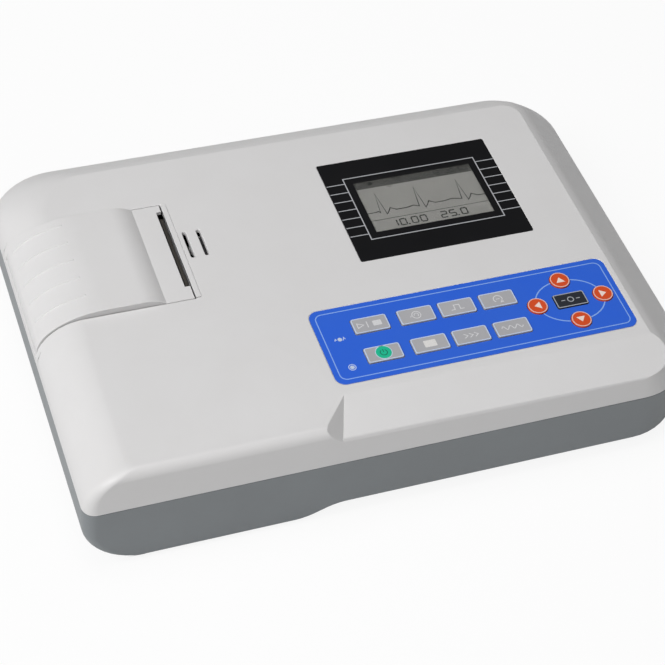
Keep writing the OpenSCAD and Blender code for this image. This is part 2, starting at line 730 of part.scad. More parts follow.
module start_key() color("darkgray") box_key(key_mid(0, 0), key_w, key_d);
module mode_key() color("darkgray") box_key(key_mid(1, 0), key_w, key_d);
module calibration_key() color("darkgray") box_key(key_mid(2, 0), key_w, key_d);
module reset_key() color("darkgray") box_key(key_mid(3, 0), key_w, key_d);
module power_key() color("darkgray") box_key(key_mid(0, 1), key_w, key_d);
module lead_key() color("darkgray") box_key(key_mid(1, 1), key_w, key_d);
module speed_key() color("darkgray") box_key(key_mid(2, 1), key_w, key_d);
module filter_key() color("darkgray") box_key(key_mid(3, 1), key_w, key_d);
module up_key() color("orangered") round_key(arrow_mids[0]);
module down_key() color("orangered") round_key(arrow_mids[1]);
module left_key() color("orangered") round_key(arrow_mids[2]);
module right_key() color("orangered") round_key(arrow_mids[3]);
module set_key() color("black") box_key([ring_cx, ring_cy], set_w, set_d);

// Printer door: a shell with end walls, a hinge barrel, grip ribs and a paper mouth
module printer_door() color("white") difference() {
    union() {
        door_slice(0, door_t, door_y0, door_y1);
        door_slice(0, cheek_deep, door_y0, door_y0 + cheek_t);
        door_slice(0, cheek_deep, door_y1 - cheek_t, door_y1);
        along_y(hinge_x, hinge_z, knuckle_r, door_y0, door_y1);
        for (i = [0:rib_count - 1]) {
            y = door_y + 3.3 + (i - (rib_count - 1) / 2) * rib_pitch;
            translate([0, y + rib_w / 2, 0]) rotate([90, 0, 0]) linear_extrude(rib_w)
                polygon(concat(rib_line(-rib_h), reversed(rib_line(0.5))));
        }
    }
    along_y(hinge_x, hinge_z, hinge_pin_r + run_fit, door_y0 - over, door_y1 + over);
    block(slot_x0, door_edge_x + over, paper_y - mouth_w / 2, paper_y + mouth_w / 2,
          deck_z - 10, deck_z + over);
}

// The part of the door's rounded shoulder that carries a grip rib
function rib_line(g) = [for (i = [0:10]) let (a = 158 - 56 * i / 10)
    [round_cx + (door_round_w - g) * cos(a), hinge_z + (crest_z - hinge_z - g) * sin(a)]];

module door_hinge_pin() color("silver")
    along_y(hinge_x, hinge_z, hinge_pin_r, door_y0 - door_gap - post_in + 0.6,
            door_y1 + door_gap + post_in - 0.6);

module tear_bar() color("gainsboro") difference() {
    block(slot_x1, slot_x1 + tear_w, door_y0 + seat_gap, door_y1 - seat_gap,
          deck_z - tear_deep, deck_z + tear_proud);
    // A sloped back edge towards the deck
    translate([slot_x1 + tear_w, door_y0 - over, deck_z + tear_proud]) rotate([0, 35, 0])
        translate([-3, 0, 0]) cube([6, door_len + 2 * over, 2]);
}

// Printer mechanism
module printer_frame() color("lightsteelblue") difference() {
    union() {
        for (y = [plate_y0 - plate_t, plate_y1])
            block(frame_x0, frame_x1, y, y + plate_t, frame_z0, frame_top);
        block(frame_x0, frame_x1, plate_y0 - plate_t, plate_y1 + plate_t, frame_z0, frame_z0 + plate_t);
        block(frame_x1 - plate_t, frame_x1, plate_y0 - plate_t, plate_y1 + plate_t,
              frame_z0, frame_top - 2);
    }
    along_y(platen_x, platen_z, bush_r, plate_y0 - 5, plate_y1 + 5);
    along_y(platen_x, idler_z, idler_pin_r, plate_y1 - over, plate_y1 + 5);
    along_y(platen_x, motor_z, motor_shaft_r + 1, plate_y1 - over, plate_y1 + 5);
}

module platen_bushes() color("ivory") difference() {
    for (s = [[plate_y0 - plate_t, plate_y0 + 0.8, plate_y0], [plate_y1 - 0.8, plate_y1 + plate_t, plate_y1 - 0.8]]) {
        along_y(platen_x, platen_z, bush_r, s[0], s[1]);
        along_y(platen_x, platen_z, bush_r + 1, s[2], s[2] + 0.8);
    }
    along_y(platen_x, platen_z, journal_r + run_fit, plate_y0 - 5, plate_y1 + 5);
}

module platen_shaft() color("silver") {
    along_y(platen_x, platen_z, journal_r, plate_y0 - plate_t - 0.6, gear_y + gear_w + 0.4);
    along_y(platen_x, platen_z, shaft_r, plate_y0 + side_in, plate_y1 - side_in);
}

module platen_roller() color("dimgray") difference() {
    along_y(platen_x, platen_z, platen_r, paper_y - platen_len / 2, paper_y + platen_len / 2);
    along_y(platen_x, platen_z, shaft_r, plate_y0, plate_y1);
}

// Outline of a spur gear with straight-sided teeth; turn is the angle of its first tooth
function gear_pts(teeth, turn) = let (
    pitch_r = teeth * gear_m / 2, tip = pitch_r + 0.85 * gear_m, root = pitch_r - 1.1 * gear_m,
    tip_half = 0.36 * gear_m / tip * 180 / PI, root_half = 0.98 * gear_m / root * 180 / PI)
    [for (i = [0:teeth - 1]) for (q = [[root, -root_half], [tip, -tip_half], [tip, tip_half], [root, root_half]])
        let (a = turn + 360 * i / teeth + q[1]) q[0] * [cos(a), sin(a)]];

module spur(z, teeth, turn, bore) translate([platen_x, gear_y + gear_w, z]) rotate([90, 0, 0])
    difference() {
        linear_extrude(gear_w) polygon(gear_pts(teeth, turn));
        translate([0, 0, -over]) cylinder(r = bore, h = gear_w + 2 * over);
    }

// The platen gear has a tooth pointing down, the idler gaps up and down, the pinion a tooth up
module platen_gear() color("ivory") spur(platen_z, platen_teeth, -90, journal_r);
module idler_gear() color("ivory")
    spur(idler_z, idler_teeth, 90 + 180 / idler_teeth, idler_pin_r + run_fit);
module motor_pinion() color("goldenrod")
    spur(motor_z, pinion_teeth, 90, motor_shaft_r);

module idler_pin() color("silver") {
    along_y(platen_x, idler_z, idler_pin_r, plate_y1, gear_y + gear_w + 0.9);
    along_y(platen_x, idler_z, idler_pin_r + 0.8, gear_y + gear_w + 0.3, gear_y + gear_w + 0.9);
    along_y(platen_x, idler_z, idler_pin_r + 0.8, plate_y1 + plate_t, gear_y - 0.3);
}

module feed_motor() color("silver") difference() {
    union() {
        along_y(platen_x, motor_z, motor_r, plate_y1 - motor_len, plate_y1);
        along_y(platen_x, motor_z, motor_shaft_r + 0.9, plate_y1 - sliver, plate_y1 + plate_t);
    }
    along_y(platen_x, motor_z, motor_shaft_r + run_fit, plate_y1 - motor_len + 2, plate_y1 + plate_t + over);
}

module motor_shaft() color("gray")
    along_y(platen_x, motor_z, motor_shaft_r, plate_y1 - motor_len + 2.3, gear_y + gear_w + 0.4);

module print_head() color("tan")
    block(head_x, head_x + head_t, paper_y - platen_len / 2, paper_y + platen_len / 2,
          head_top - head_h, head_top);

module heat_sink() color("silver") difference() {
    block(head_x + head_t, head_x + head_t + sink_t, paper_y - platen_len / 2,
          paper_y + platen_len / 2, head_top - head_h, head_top - 1);
    for (i = [0:6]) block(head_x + head_t + 1.6, head_x + head_t + sink_t + over,
        paper_y - 21.8 + 6.4 * i, paper_y - 19.8 + 6.4 * i, 0, deck_z);
}

// A bent leaf between the frame's back wall and the heat sink
module head_spring() color("lightgray") {
    x0 = head_x + head_t + sink_t;
    x1 = frame_x1 - plate_t;
    z1 = head_top - 6;
    block(x0, x0 + 0.4, paper_y - 7, paper_y + 7, z1 - 6, z1);
    block(x0, x1, paper_y - 7, paper_y + 7, z1 - 6.4, z1 - 6);
    block(x1 - 0.4, x1, paper_y - 7, paper_y + 7, z1 - 12, z1 - 6);
}

// Paper bay
// Section of the tray with chamfered lower corners, g inside its surface
function tray_line(g, top) = let (x0 = tray_x0 + g, x1 = tray_x1 - g, z = left_in_z + g,
    leg = tray_ease - g * (2 - sqrt(2)))
    [[x0, top], [x0, z + leg], [x0 + leg, z], [x1 - leg, z], [x1, z + leg], [x1, top]];

module tray_slice(g, y0, y1, top)
    translate([0, y1, 0]) rotate([90, 0, 0]) linear_extrude(y1 - y0) polygon(tray_line(g, top));

module paper_tray() color("gainsboro") difference() {
    tray_slice(0, tray_y0, tray_y1, tray_top);
    tray_slice(tray_t, tray_y0 + tray_t, tray_y1 - tray_t, tray_top + over);
    // Low right wall, where the paper leaves
    block(tray_x1 - tray_t - over, tray_x1 + over, tray_y0 + tray_t, tray_y1 - tray_t,
          tray_low_top, tray_top + over);
    // Slots that hold the spindle's ends
    block(roll_x - spindle_end_r - 0.1, roll_x + spindle_end_r + 0.1, tray_y0 - over,
          tray_y1 + over, roll_z, tray_top + over);
    along_y(roll_x, roll_z, spindle_end_r + run_fit, tray_y0 - over, tray_y1 + over);
}

module paper_roll() color("mistyrose") difference() {
    along_y(roll_x, roll_z, roll_r, paper_y - paper_w / 2, paper_y + paper_w / 2);
    along_y(roll_x, roll_z, core_bore_r + core_t, paper_y - paper_w, paper_y + paper_w);
}

module paper_core() color("burlywood") difference() {
    along_y(roll_x, roll_z, core_bore_r + core_t, paper_y - paper_w / 2, paper_y + paper_w / 2);
    along_y(roll_x, roll_z, core_bore_r, paper_y - paper_w, paper_y + paper_w);
}

module paper_spindle() color("gray") {
    along_y(roll_x, roll_z, core_bore_r - run_fit, paper_y - paper_w / 2 - 0.6, paper_y + paper_w / 2 + 0.6);
    along_y(roll_x, roll_z, spindle_end_r, tray_y0, tray_y1);
}

module beeper() color("black") difference() {
    upright([beeper_x, grille_y], beeper_r, in_deck_z - beeper_h, in_deck_z);
    upright([beeper_x, grille_y], 1, in_deck_z - 3, in_deck_z + over);
}

// Boards
module main_board() color("darkgreen") difference() {
    union() {
        translate([0, 0, board_low_z]) linear_extrude(board_t)
            polygon(plate_pts(main_x0, main_y0, main_x1, main_y1, [2, board_cut, board_cut, 2]));
        top = board_low_z + board_t - sliver;
        block(20, 44, -20, 4, top, top + 2.4);
        block(60, 78, -30, -12, top, top + 1.8);
        block(52, 92, 34, 42, top, top + 8);
        block(0, 30, 30, 38, top, top + 6);
        upright([100, 50], 5, top, top + 12);
        upright([100, 34], 4, top, top + 9);
    }
    for (p = main_posts) upright(p, small_screw_r + 0.1, board_low_z - over, deck_z);
}

module power_board() color("darkgreen") difference() {
    union() {
        plate(power_x0, power_y0, power_x1, power_y1, 1, power_z, power_z + board_t);
        upright([power_x1 - 24, power_y0 + 15], cap_r, power_z + 1, power_z + board_t + cap_h);
        upright([power_x1 - 9, power_y0 + 10], 4, power_z + 1, power_z + board_t + 10);
    }
    for (p = power_posts) upright(p, small_screw_r + 0.1, power_z - over, seam_z);
}

module transformer() color("darkorange") {
    x = power_x0 + coil_in;
    y = (power_y0 + power_y1) / 2;
    z = power_z + board_t;
    block(x - 12, x + 12, y - 11, y + 11, z, z + 4);
    block(x - 15, x + 15, y - 6, y + 6, z + 4, z + 22);
    block(x - 8, x + 8, y - 10, y + 10, z + 4, z + 19);
}

// Sockets
module mains_inlet() color("black") {
    difference() {
        union() {
            block(inlet_x - inlet_w / 2 - 3.3, inlet_x + inlet_w / 2 + 3.3, back_y - 1.8, back_y - 0.3,
                  rear_z - inlet_h / 2 - 3.3, rear_z + inlet_h / 2 + 3.3);
            block(inlet_x - inlet_w / 2 - 1.6, inlet_x + inlet_w / 2 + 1.6, back_y - 19, back_y - 1.8,
                  rear_z - inlet_h / 2 - 1.6, rear_z + inlet_h / 2 + 1.6);
        }
        translate([inlet_x, back_y + over, rear_z]) rotate([90, 0, 0]) linear_extrude(17.5 + over)
            polygon([[-inlet_w / 2, -inlet_h / 2], [inlet_w / 2, -inlet_h / 2],
                     [inlet_w / 2, inlet_h / 2 - 4], [inlet_w / 2 - 4, inlet_h / 2],
                     [-inlet_w / 2 + 4, inlet_h / 2], [-inlet_w / 2, inlet_h / 2 - 4]]);
    }
    for (q = [[-7, -2], [0, 2], [7, -2]])
        block(inlet_x + q[0] - 1, inlet_x + q[0] + 1, back_y - 22, back_y - 4,
              rear_z + q[1] - 2, rear_z + q[1] + 2);
}

module fuse_holders() color("dimgray") for (x = fuse_x) difference() {
    union() {
        along_y(x, rear_z, fuse_r, back_y - 19, back_y - 0.3);
        along_y(x, rear_z, fuse_r + 1.4, back_y - wall - 2, back_y - wall);
    }
    block(x - 3.6, x + 3.6, back_y - 1.6, back_y, rear_z - 0.6, rear_z + 0.6);
}

module earth_terminal() color("goldenrod") {
    pin_y = back_y - pocket_deep + earth_neck;
    along_y(earth_x, rear_z, earth_neck_r, back_y - pocket_deep - 5, pin_y + sliver);
    along_y(earth_x, rear_z, earth_r, pin_y, pin_y + earth_len);
    along_y(earth_x, rear_z, earth_r + 2, back_y - pocket_deep - 4, back_y - pocket_deep - 2);
}

module patient_socket() color("silver") difference() {
    union() {
        block(right_x - 3.6, right_x - wall, socket_y - 19.6, socket_y + 19.6,
              socket_z - 6.2, socket_z + 6.2);
        block(right_x - 4, right_x - 0.4, socket_y - nose_w / 2, socket_y + nose_w / 2,
              socket_z - nose_h / 2, socket_z + nose_h / 2);
        block(right_x - 14, right_x - 3.6, socket_y - 14, socket_y + 14,
              board_low_z + board_t, socket_z + 6);
        for (s = [-1, 1]) translate([right_x - 5, socket_y + s * socket_pitch / 2, socket_z])
            rotate([0, 90, 0]) cylinder(r = hex_r, h = 4.6, $fn = 6);
    }
    for (s = [-1, 1]) translate([right_x - 6, socket_y + s * socket_pitch / 2, socket_z])
        rotate([0, 90, 0]) cylinder(r = socket_thread_r, h = 8);
    for (i = [0:7]) translate([right_x - 3, socket_y + (i - 3.5) * 2.76, socket_z + 1.4])
        rotate([0, 90, 0]) cylinder(r = 0.55, h = 4, $fn = 16);
    for (i = [0:6]) translate([right_x - 3, socket_y + (i - 3) * 2.76, socket_z - 1.4])
        rotate([0, 90, 0]) cylinder(r = 0.55, h = 4, $fn = 16);
}

module data_port() color("silver") {
    z0 = board_low_z + board_t;
    difference() {
        block(port_x - port_w / 2, port_x + port_w / 2, main_y1 - 3, back_y - 0.4, z0, z0 + port_h);
        block(port_x - 4.2, port_x + 4.2, back_y - 10, back_y + over, z0 + 1.6, z0 + port_h - 1.6);
    }
    block(port_x - 2.8, port_x + 2.8, back_y - 11, back_y - 2, z0 + 4, z0 + port_h - 4);
}

top_cover();
bottom_case();
battery_door();
case_screws();
left_feet();
right_feet();
display_mask();
display_lens();
lcd_glass();
lcd_bezel();
display_board();
keypad_overlay();
dome_sheet();
keypad_board();
status_lights();
board_screws();
start_key();
mode_key();
calibration_key();
reset_key();
power_key();
lead_key();
speed_key();
filter_key();
up_key();
down_key();
left_key();
right_key();
set_key();
printer_door();
door_hinge_pin();
tear_bar();
printer_frame();
platen_bushes();
platen_roller();
platen_shaft();
platen_gear();
idler_gear();
idler_pin();
feed_motor();
motor_shaft();
motor_pinion();
print_head();
heat_sink();
head_spring();
paper_tray();
paper_roll();
paper_core();
paper_spindle();
main_board();
power_board();
transformer();
battery_pack();
beeper();
mains_inlet();
fuse_holders();
earth_terminal();
patient_socket();
data_port();
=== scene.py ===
import math

import bmesh
import bpy
from mathutils import Matrix, Vector


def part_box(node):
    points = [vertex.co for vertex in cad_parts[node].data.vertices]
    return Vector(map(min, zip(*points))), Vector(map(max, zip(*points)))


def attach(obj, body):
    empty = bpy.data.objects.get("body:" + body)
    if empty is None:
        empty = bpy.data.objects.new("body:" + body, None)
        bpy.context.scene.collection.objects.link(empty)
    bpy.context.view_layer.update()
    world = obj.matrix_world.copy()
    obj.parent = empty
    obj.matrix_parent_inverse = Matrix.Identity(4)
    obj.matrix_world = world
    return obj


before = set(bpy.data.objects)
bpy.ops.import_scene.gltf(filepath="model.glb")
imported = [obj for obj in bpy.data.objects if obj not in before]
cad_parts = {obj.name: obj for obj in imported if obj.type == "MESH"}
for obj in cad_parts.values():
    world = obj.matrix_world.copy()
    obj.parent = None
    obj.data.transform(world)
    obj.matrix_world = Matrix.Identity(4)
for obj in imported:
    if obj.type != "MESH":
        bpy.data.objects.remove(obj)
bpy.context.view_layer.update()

MM = 0.001
INK_THICK = 0.03
DECK_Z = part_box("display_mask")[1].z / MM


# ---------------------------------------------------------------- colours and nodes
def screen(red, green, blue):
    """A colour in screen values of 0 to 255, as the linear colour that a shader takes."""
    def linear(value):
        part = value / 255
        return part / 12.92 if part <= 0.04045 else ((part + 0.055) / 1.055) ** 2.4
    return (linear(red), linear(green), linear(blue), 1.0)


def feed(tree, socket, value):
    if isinstance(value, bpy.types.NodeSocket):
        tree.links.new(value, socket)
    else:
        socket.default_value = value


def place_node(tree, kind, inputs=None, **settings):
    """A new node of that full kind, with its settings made and its inputs linked or set."""
    made = tree.nodes.new(kind)
    for name, value in settings.items():
        setattr(made, name, value)
    for name, value in (inputs or {}).items():
        feed(tree, made.inputs[name], value)
    return made


def add(tree, kind, inputs=None, **settings):
    return place_node(tree, "ShaderNode" + kind, inputs, **settings)


def sums(tree, operation, first, second=0.0, third=0.0, clamp=False):
    made = add(tree, "Math", {0: first, 1: second, 2: third}, operation=operation)
    made.use_clamp = clamp
    return made.outputs[0]


def mixed(tree, share, first, second):
    """Colour first turning into colour second as share goes from 0 to 1."""
    return add(tree, "Mix", {0: share, 6: first, 7: second}, data_type="RGBA").outputs[2]


def spread(tree, value, low, high, out_low=0.0, out_high=1.0):
    """value between low and high, spread over out_low to out_high and held there."""
    return add(tree, "MapRange", {"Value": value, "From Min": low, "From Max": high,
                                  "To Min": out_low, "To Max": out_high}).outputs[0]


def noise(tree, place, scale, detail=2.0, rough=0.5):
    return add(tree, "TexNoise", {"Vector": place, "Scale": scale, "Detail": detail,
                                  "Roughness": rough}).outputs["Fac"]


def here(tree):
    return add(tree, "TexCoord").outputs["Object"]


def stretched(tree, place, x, y, z):
    return add(tree, "VectorMath", {0: place, 1: (x, y, z)}, operation="MULTIPLY").outputs[0]


# ---------------------------------------------------------------- shared surface effects
def new_group(name, inputs, outputs):
    """An empty shader group, its input sockets by name and its output sockets by name."""
    tree = bpy.data.node_groups.new(name, "ShaderNodeTree")
    for label, kind, value in inputs:
        socket = tree.interface.new_socket(label, in_out="INPUT", socket_type="NodeSocket" + kind)
        socket.default_value = value
    for label, kind in outputs:
        tree.interface.new_socket(label, in_out="OUTPUT", socket_type="NodeSocket" + kind)
    return tree, tree.nodes.new("NodeGroupInput").outputs, tree.nodes.new("NodeGroupOutput").inputs


def make_moulded_grain():
    """Fine spark-eroded grain over a slow orange peel, as the height of a moulded skin."""
    tree, given, out = new_group("moulded_grain",
                                 [("Scale", "Float", 2600.0), ("Peel", "Float", 0.5)],
                                 [("Height", "Float"), ("Grain", "Float")])
    place = here(tree)
    fine = noise(tree, place, given["Scale"], 3.0, 0.6)
    slow = noise(tree, place, sums(tree, "MULTIPLY", given["Scale"], 0.07), 1.0)
    feed(tree, out["Height"], sums(tree, "MULTIPLY_ADD", slow, given["Peel"], fine))
    feed(tree, out["Grain"], fine)
    return tree


def make_edge_rub():
    """A mask that is 1 where an outer edge has been rubbed, broken up along its length."""
    tree, given, out = new_group("edge_rub",
                                 [("Radius", "Float", 0.0008), ("Amount", "Float", 1.0)],
                                 [("Mask", "Float")])
    rounded = add(tree, "Bevel", {"Radius": given["Radius"]}, samples=4).outputs[0]
    flat = add(tree, "NewGeometry").outputs["Normal"]
    facing = add(tree, "VectorMath", {0: rounded, 1: flat}, operation="DOT_PRODUCT")
    turned = spread(tree, facing.outputs["Value"], 0.995, 0.8)
    patches = spread(tree, noise(tree, here(tree), 220.0, 4.0, 0.7), 0.38, 0.62)
    held = sums(tree, "MULTIPLY", turned, patches)
    feed(tree, out["Mask"], sums(tree, "MULTIPLY", held, given["Amount"], clamp=True))
    return tree


def make_handling():
    """Slow blotches where a surface has been handled and wiped."""
    tree, given, out = new_group("handling",
                                 [("Scale", "Float", 28.0), ("Amount", "Float", 1.0)],
                                 [("Mask", "Float")])
    wide = spread(tree, noise(tree, here(tree), given["Scale"], 5.0, 0.62), 0.34, 0.7)
    feed(tree, out["Mask"], sums(tree, "MULTIPLY", wide, given["Amount"]))
    return tree


def make_metal_lines():
    """Fine drawn or turned lines along X, as a mask and a height."""
    tree, given, out = new_group("metal_lines",
                                 [("Scale", "Float", 900.0), ("Stretch", "Float", 0.03)],
                                 [("Mask", "Float"), ("Height", "Float")])
    parts = add(tree, "SeparateXYZ", {0: here(tree)}).outputs
    along = sums(tree, "MULTIPLY", parts[0], given["Stretch"])
    place = add(tree, "CombineXYZ", {0: along, 1: parts[1], 2: parts[2]}).outputs[0]
    lines = noise(tree, place, given["Scale"], 3.0, 0.65)
    feed(tree, out["Mask"], spread(tree, lines, 0.3, 0.7))
    feed(tree, out["Height"], lines)
    return tree


def make_printed_coat():
    """An uneven coat of printing ink: where it is thin, its sheen and its height."""
    tree, given, out = new_group("printed_coat", [("Scale", "Float", 1500.0)],
                                 [("Thin", "Float"), ("Sheen", "Float"), ("Height", "Float")])
    place = here(tree)
    feed(tree, out["Thin"], spread(tree, noise(tree, place, given["Scale"], 3.0, 0.6), 0.35, 0.75))
    feed(tree, out["Sheen"], spread(tree, noise(tree, place, 3200.0), 0.3, 0.7))
    feed(tree, out["Height"], noise(tree, place, 5000.0))
    return tree


def make_round_the_roll():
    """A point's distance from the paper roll's axis, its angle round it and its place along it."""
    tree, _, out = new_group("round_the_roll", [],
                             [("Away", "Float"), ("Angle", "Float"), ("Along", "Float")])
    low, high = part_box("paper_roll")
    moved = add(tree, "VectorMath", {0: here(tree), 1: tuple((low + high) / 2)},
                operation="SUBTRACT").outputs[0]
    x, y, z = add(tree, "SeparateXYZ", {0: moved}).outputs
    squares = [sums(tree, "POWER", part, 2.0) for part in (x, z)]
    feed(tree, out["Away"], sums(tree, "SQRT", sums(tree, "ADD", *squares)))
    feed(tree, out["Angle"], sums(tree, "ARCTAN2", z, x))
    feed(tree, out["Along"], y)
    return tree


GRAIN = make_moulded_grain()
RUB = make_edge_rub()
HANDLING = make_handling()
LINES = make_metal_lines()
COAT = make_printed_coat()
ROUND_ROLL = make_round_the_roll()


def use(tree, group, inputs):
    made = tree.nodes.new("ShaderNodeGroup")
    made.node_tree = group
    for name, value in inputs.items():
        feed(tree, made.inputs[name], value)
    return made.outputs


def blank_material(name):
    """A new material, its node tree and its Principled shader."""
    made = bpy.data.materials.new(name)
    made.use_nodes = True
    tree = made.node_tree
    return made, tree, tree.nodes["Principled BSDF"]


def bumped(tree, height, depth, strength=1.0):
    return add(tree, "Bump", {"Height": height, "Distance": depth, "Strength": strength}).outputs[0]


# ---------------------------------------------------------------- finishes
def moulded(name, colour, rough, soiled, rubbed, grain=2600.0, depth=0.00002, peel=0.5,
            soil=0.35, rub=0.5, gloss=0.5):
    """A moulded or printed skin: grained, a little soiled and rubbed at its edges."""
    made, tree, shader = blank_material(name)
    skin = use(tree, GRAIN, {"Scale": grain, "Peel": peel})
    touched = use(tree, HANDLING, {"Amount": soil})["Mask"]
    worn = use(tree, RUB, {"Amount": rub})["Mask"]
    tinted = mixed(tree, touched, colour, soiled)
    feed(tree, shader.inputs["Base Color"], mixed(tree, worn, tinted, rubbed))
    broken = spread(tree, skin["Grain"], 0.3, 0.7, rough - 0.05, rough + 0.05)
    smoother = sums(tree, "MULTIPLY_ADD", touched, -0.1, broken)
    feed(tree, shader.inputs["Roughness"], sums(tree, "MULTIPLY_ADD", worn, -0.08, smoother))
    feed(tree, shader.inputs["Normal"], bumped(tree, skin["Height"], depth))
    shader.inputs["Specular IOR Level"].default_value = gloss
    return made


def white_plastic():
    return moulded("white_plastic", screen(223, 222, 222), 0.44, screen(216, 214, 213),
                   screen(234, 234, 233), soil=0.3, rub=0.5)


def grey_plastic():
    return moulded("grey_plastic", screen(131, 136, 139), 0.46, screen(121, 125, 128),
                   screen(152, 156, 159), soil=0.45, rub=0.5)


def black_plastic():
    return moulded("black_plastic", screen(38, 38, 40), 0.42, screen(52, 51, 50),
                   screen(84, 84, 86), soil=0.4, rub=0.6)


def mask_film():
    return moulded("mask_film", screen(18, 18, 20), 0.34, screen(27, 27, 29), screen(62, 62, 64),
                   grain=5200.0, depth=0.000006, peel=0.2, soil=0.5, rub=0.5, gloss=0.25)


def keypad_film():
    return moulded("keypad_film", screen(42, 100, 222), 0.38, screen(54, 107, 218),
                   screen(88, 134, 230), grain=4200.0, depth=0.00001, peel=0.3, soil=0.6, rub=0.6)


def key_grey():
    return moulded("key_grey", screen(180, 180, 184), 0.4, screen(171, 171, 174),
                   screen(198, 198, 202), grain=4200.0, depth=0.00001, peel=0.3, soil=0.7)


def key_orange():
    return moulded("key_orange", screen(224, 84, 38), 0.36, screen(208, 74, 34),
                   screen(240, 138, 100), grain=4200.0, depth=0.00001, peel=0.3, soil=0.7)


def key_black():
    return moulded("key_black", screen(38, 42, 50), 0.36, screen(50, 53, 60),
                   screen(96, 100, 110), grain=4200.0, depth=0.00001, peel=0.3, soil=0.7)


def key_green():
    return moulded("key_green", screen(28, 196, 152), 0.38, screen(28, 182, 144),
                   screen(120, 214, 190), grain=4200.0, depth=0.00001, peel=0.3, soil=0.6)


def gear_plastic():
    return moulded("gear_plastic", screen(228, 222, 202), 0.42, screen(206, 198, 174),
                   screen(240, 236, 222), grain=1800.0, soil=0.6)


def head_ceramic():
    return moulded("head_ceramic", screen(92, 88, 82), 0.3, screen(70, 64, 58),
                   screen(150, 146, 140), grain=3800.0, depth=0.000008, soil=0.4)


def ink(name, colour, rough=0.45):
    """Screen-printed ink: a slightly uneven coat with thin places."""
    made, tree, shader = blank_material(name)
    coat = use(tree, COAT, {})
    faded = tuple(c * 0.86 for c in colour[:3]) + (1.0,)
    feed(tree, shader.inputs["Base Color"], mixed(tree, coat["Thin"], colour, faded))
    feed(tree, shader.inputs["Roughness"],
         sums(tree, "MULTIPLY_ADD", coat["Sheen"], 0.12, rough - 0.06))
    feed(tree, shader.inputs["Normal"], bumped(tree, coat["Height"], 0.000004))
    return made


def rubber(name, colour, dusty):
    made, tree, shader = blank_material(name)
    skin = use(tree, GRAIN, {"Scale": 1500.0, "Peel": 0.6})
    dust = use(tree, HANDLING, {"Scale": 60.0, "Amount": 0.6})["Mask"]
    feed(tree, shader.inputs["Base Color"], mixed(tree, dust, colour, dusty))
    patchy = noise(tree, here(tree), 400.0)
    feed(tree, shader.inputs["Roughness"], spread(tree, patchy, 0.3, 0.7, 0.68, 0.86))
    feed(tree, shader.inputs["Normal"], bumped(tree, skin["Height"], 0.00005))
    shader.inputs["Specular IOR Level"].default_value = 0.3
    return made


def foot_rubber():
    return rubber("foot_rubber", screen(58, 58, 60), screen(92, 90, 86))


def roller_rubber():
    return rubber("roller_rubber", screen(46, 46, 48), screen(80, 78, 76))


def metal(name, colour, rough, tarnish, lines=900.0, stretch=0.03, depth=0.000008):
    """Bare or plated metal with drawn lines, a little tarnish and bright edges."""
    made, tree, shader = blank_material(name)
    drawn = use(tree, LINES, {"Scale": lines, "Stretch": stretch})
    dull = use(tree, HANDLING, {"Scale": 90.0, "Amount": 0.5})["Mask"]
    worn = use(tree, RUB, {"Radius": 0.0005, "Amount": 0.7})["Mask"]
    toned = mixed(tree, dull, colour, tarnish)
    feed(tree, shader.inputs["Base Color"], mixed(tree, worn, toned, screen(238, 238, 236)))
    feed(tree, shader.inputs["Roughness"],
         sums(tree, "MULTIPLY_ADD", drawn["Mask"], 0.16, rough - 0.08))
    feed(tree, shader.inputs["Normal"], bumped(tree, drawn["Height"], depth))
    shader.inputs["Metallic"].default_value = 1.0
    return made


def screw_steel():
    return metal("screw_steel", screen(196, 196, 198), 0.34, screen(168, 166, 160), 1400.0, 0.4)


def sheet_steel():
    return metal("sheet_steel", screen(188, 190, 194), 0.36, screen(164, 164, 162))


def shaft_steel():
    return metal("shaft_steel", screen(206, 207, 210), 0.22, screen(180, 180, 180), 1800.0, 0.5)


def motor_can():
    return metal("motor_can", screen(170, 171, 175), 0.4, screen(142, 141, 138), 1100.0, 0.2)


def aluminium():
    return metal("aluminium", screen(206, 208, 212), 0.4, screen(182, 184, 188), 800.0)


def brass():
    return metal("brass", screen(214, 178, 96), 0.28, screen(170, 128, 62), 1600.0, 0.5)


def socket_metal():
    return metal("socket_metal", screen(200, 201, 203), 0.32, screen(172, 172, 168), 1200.0)


def lcd():
    """Grey-green display glass with its fine grid of cells."""
    made, tree, shader = blank_material("lcd")
    parts = add(tree, "SeparateXYZ", {0: here(tree)}).outputs
    cell = 0.42 * MM

    def gap(value):
        place = sums(tree, "FRACT", sums(tree, "DIVIDE", value, cell))
        return spread(tree, sums(tree, "ABSOLUTE", sums(tree, "SUBTRACT", place, 0.5)), 0.36, 0.5)
    grid = sums(tree, "MAXIMUM", gap(parts[0]), gap(parts[1]))
    cloud = noise(tree, here(tree), 34.0, 2.0)
    pane = mixed(tree, cloud, screen(122, 121, 118), screen(116, 115, 112))
    feed(tree, shader.inputs["Base Color"],
         mixed(tree, sums(tree, "MULTIPLY", grid, 0.35), pane, screen(98, 98, 95)))
    feed(tree, shader.inputs["Roughness"], spread(tree, cloud, 0.1, 0.9, 0.26, 0.31))
    feed(tree, shader.inputs["Normal"], bumped(tree, grid, 0.000004))
    return made


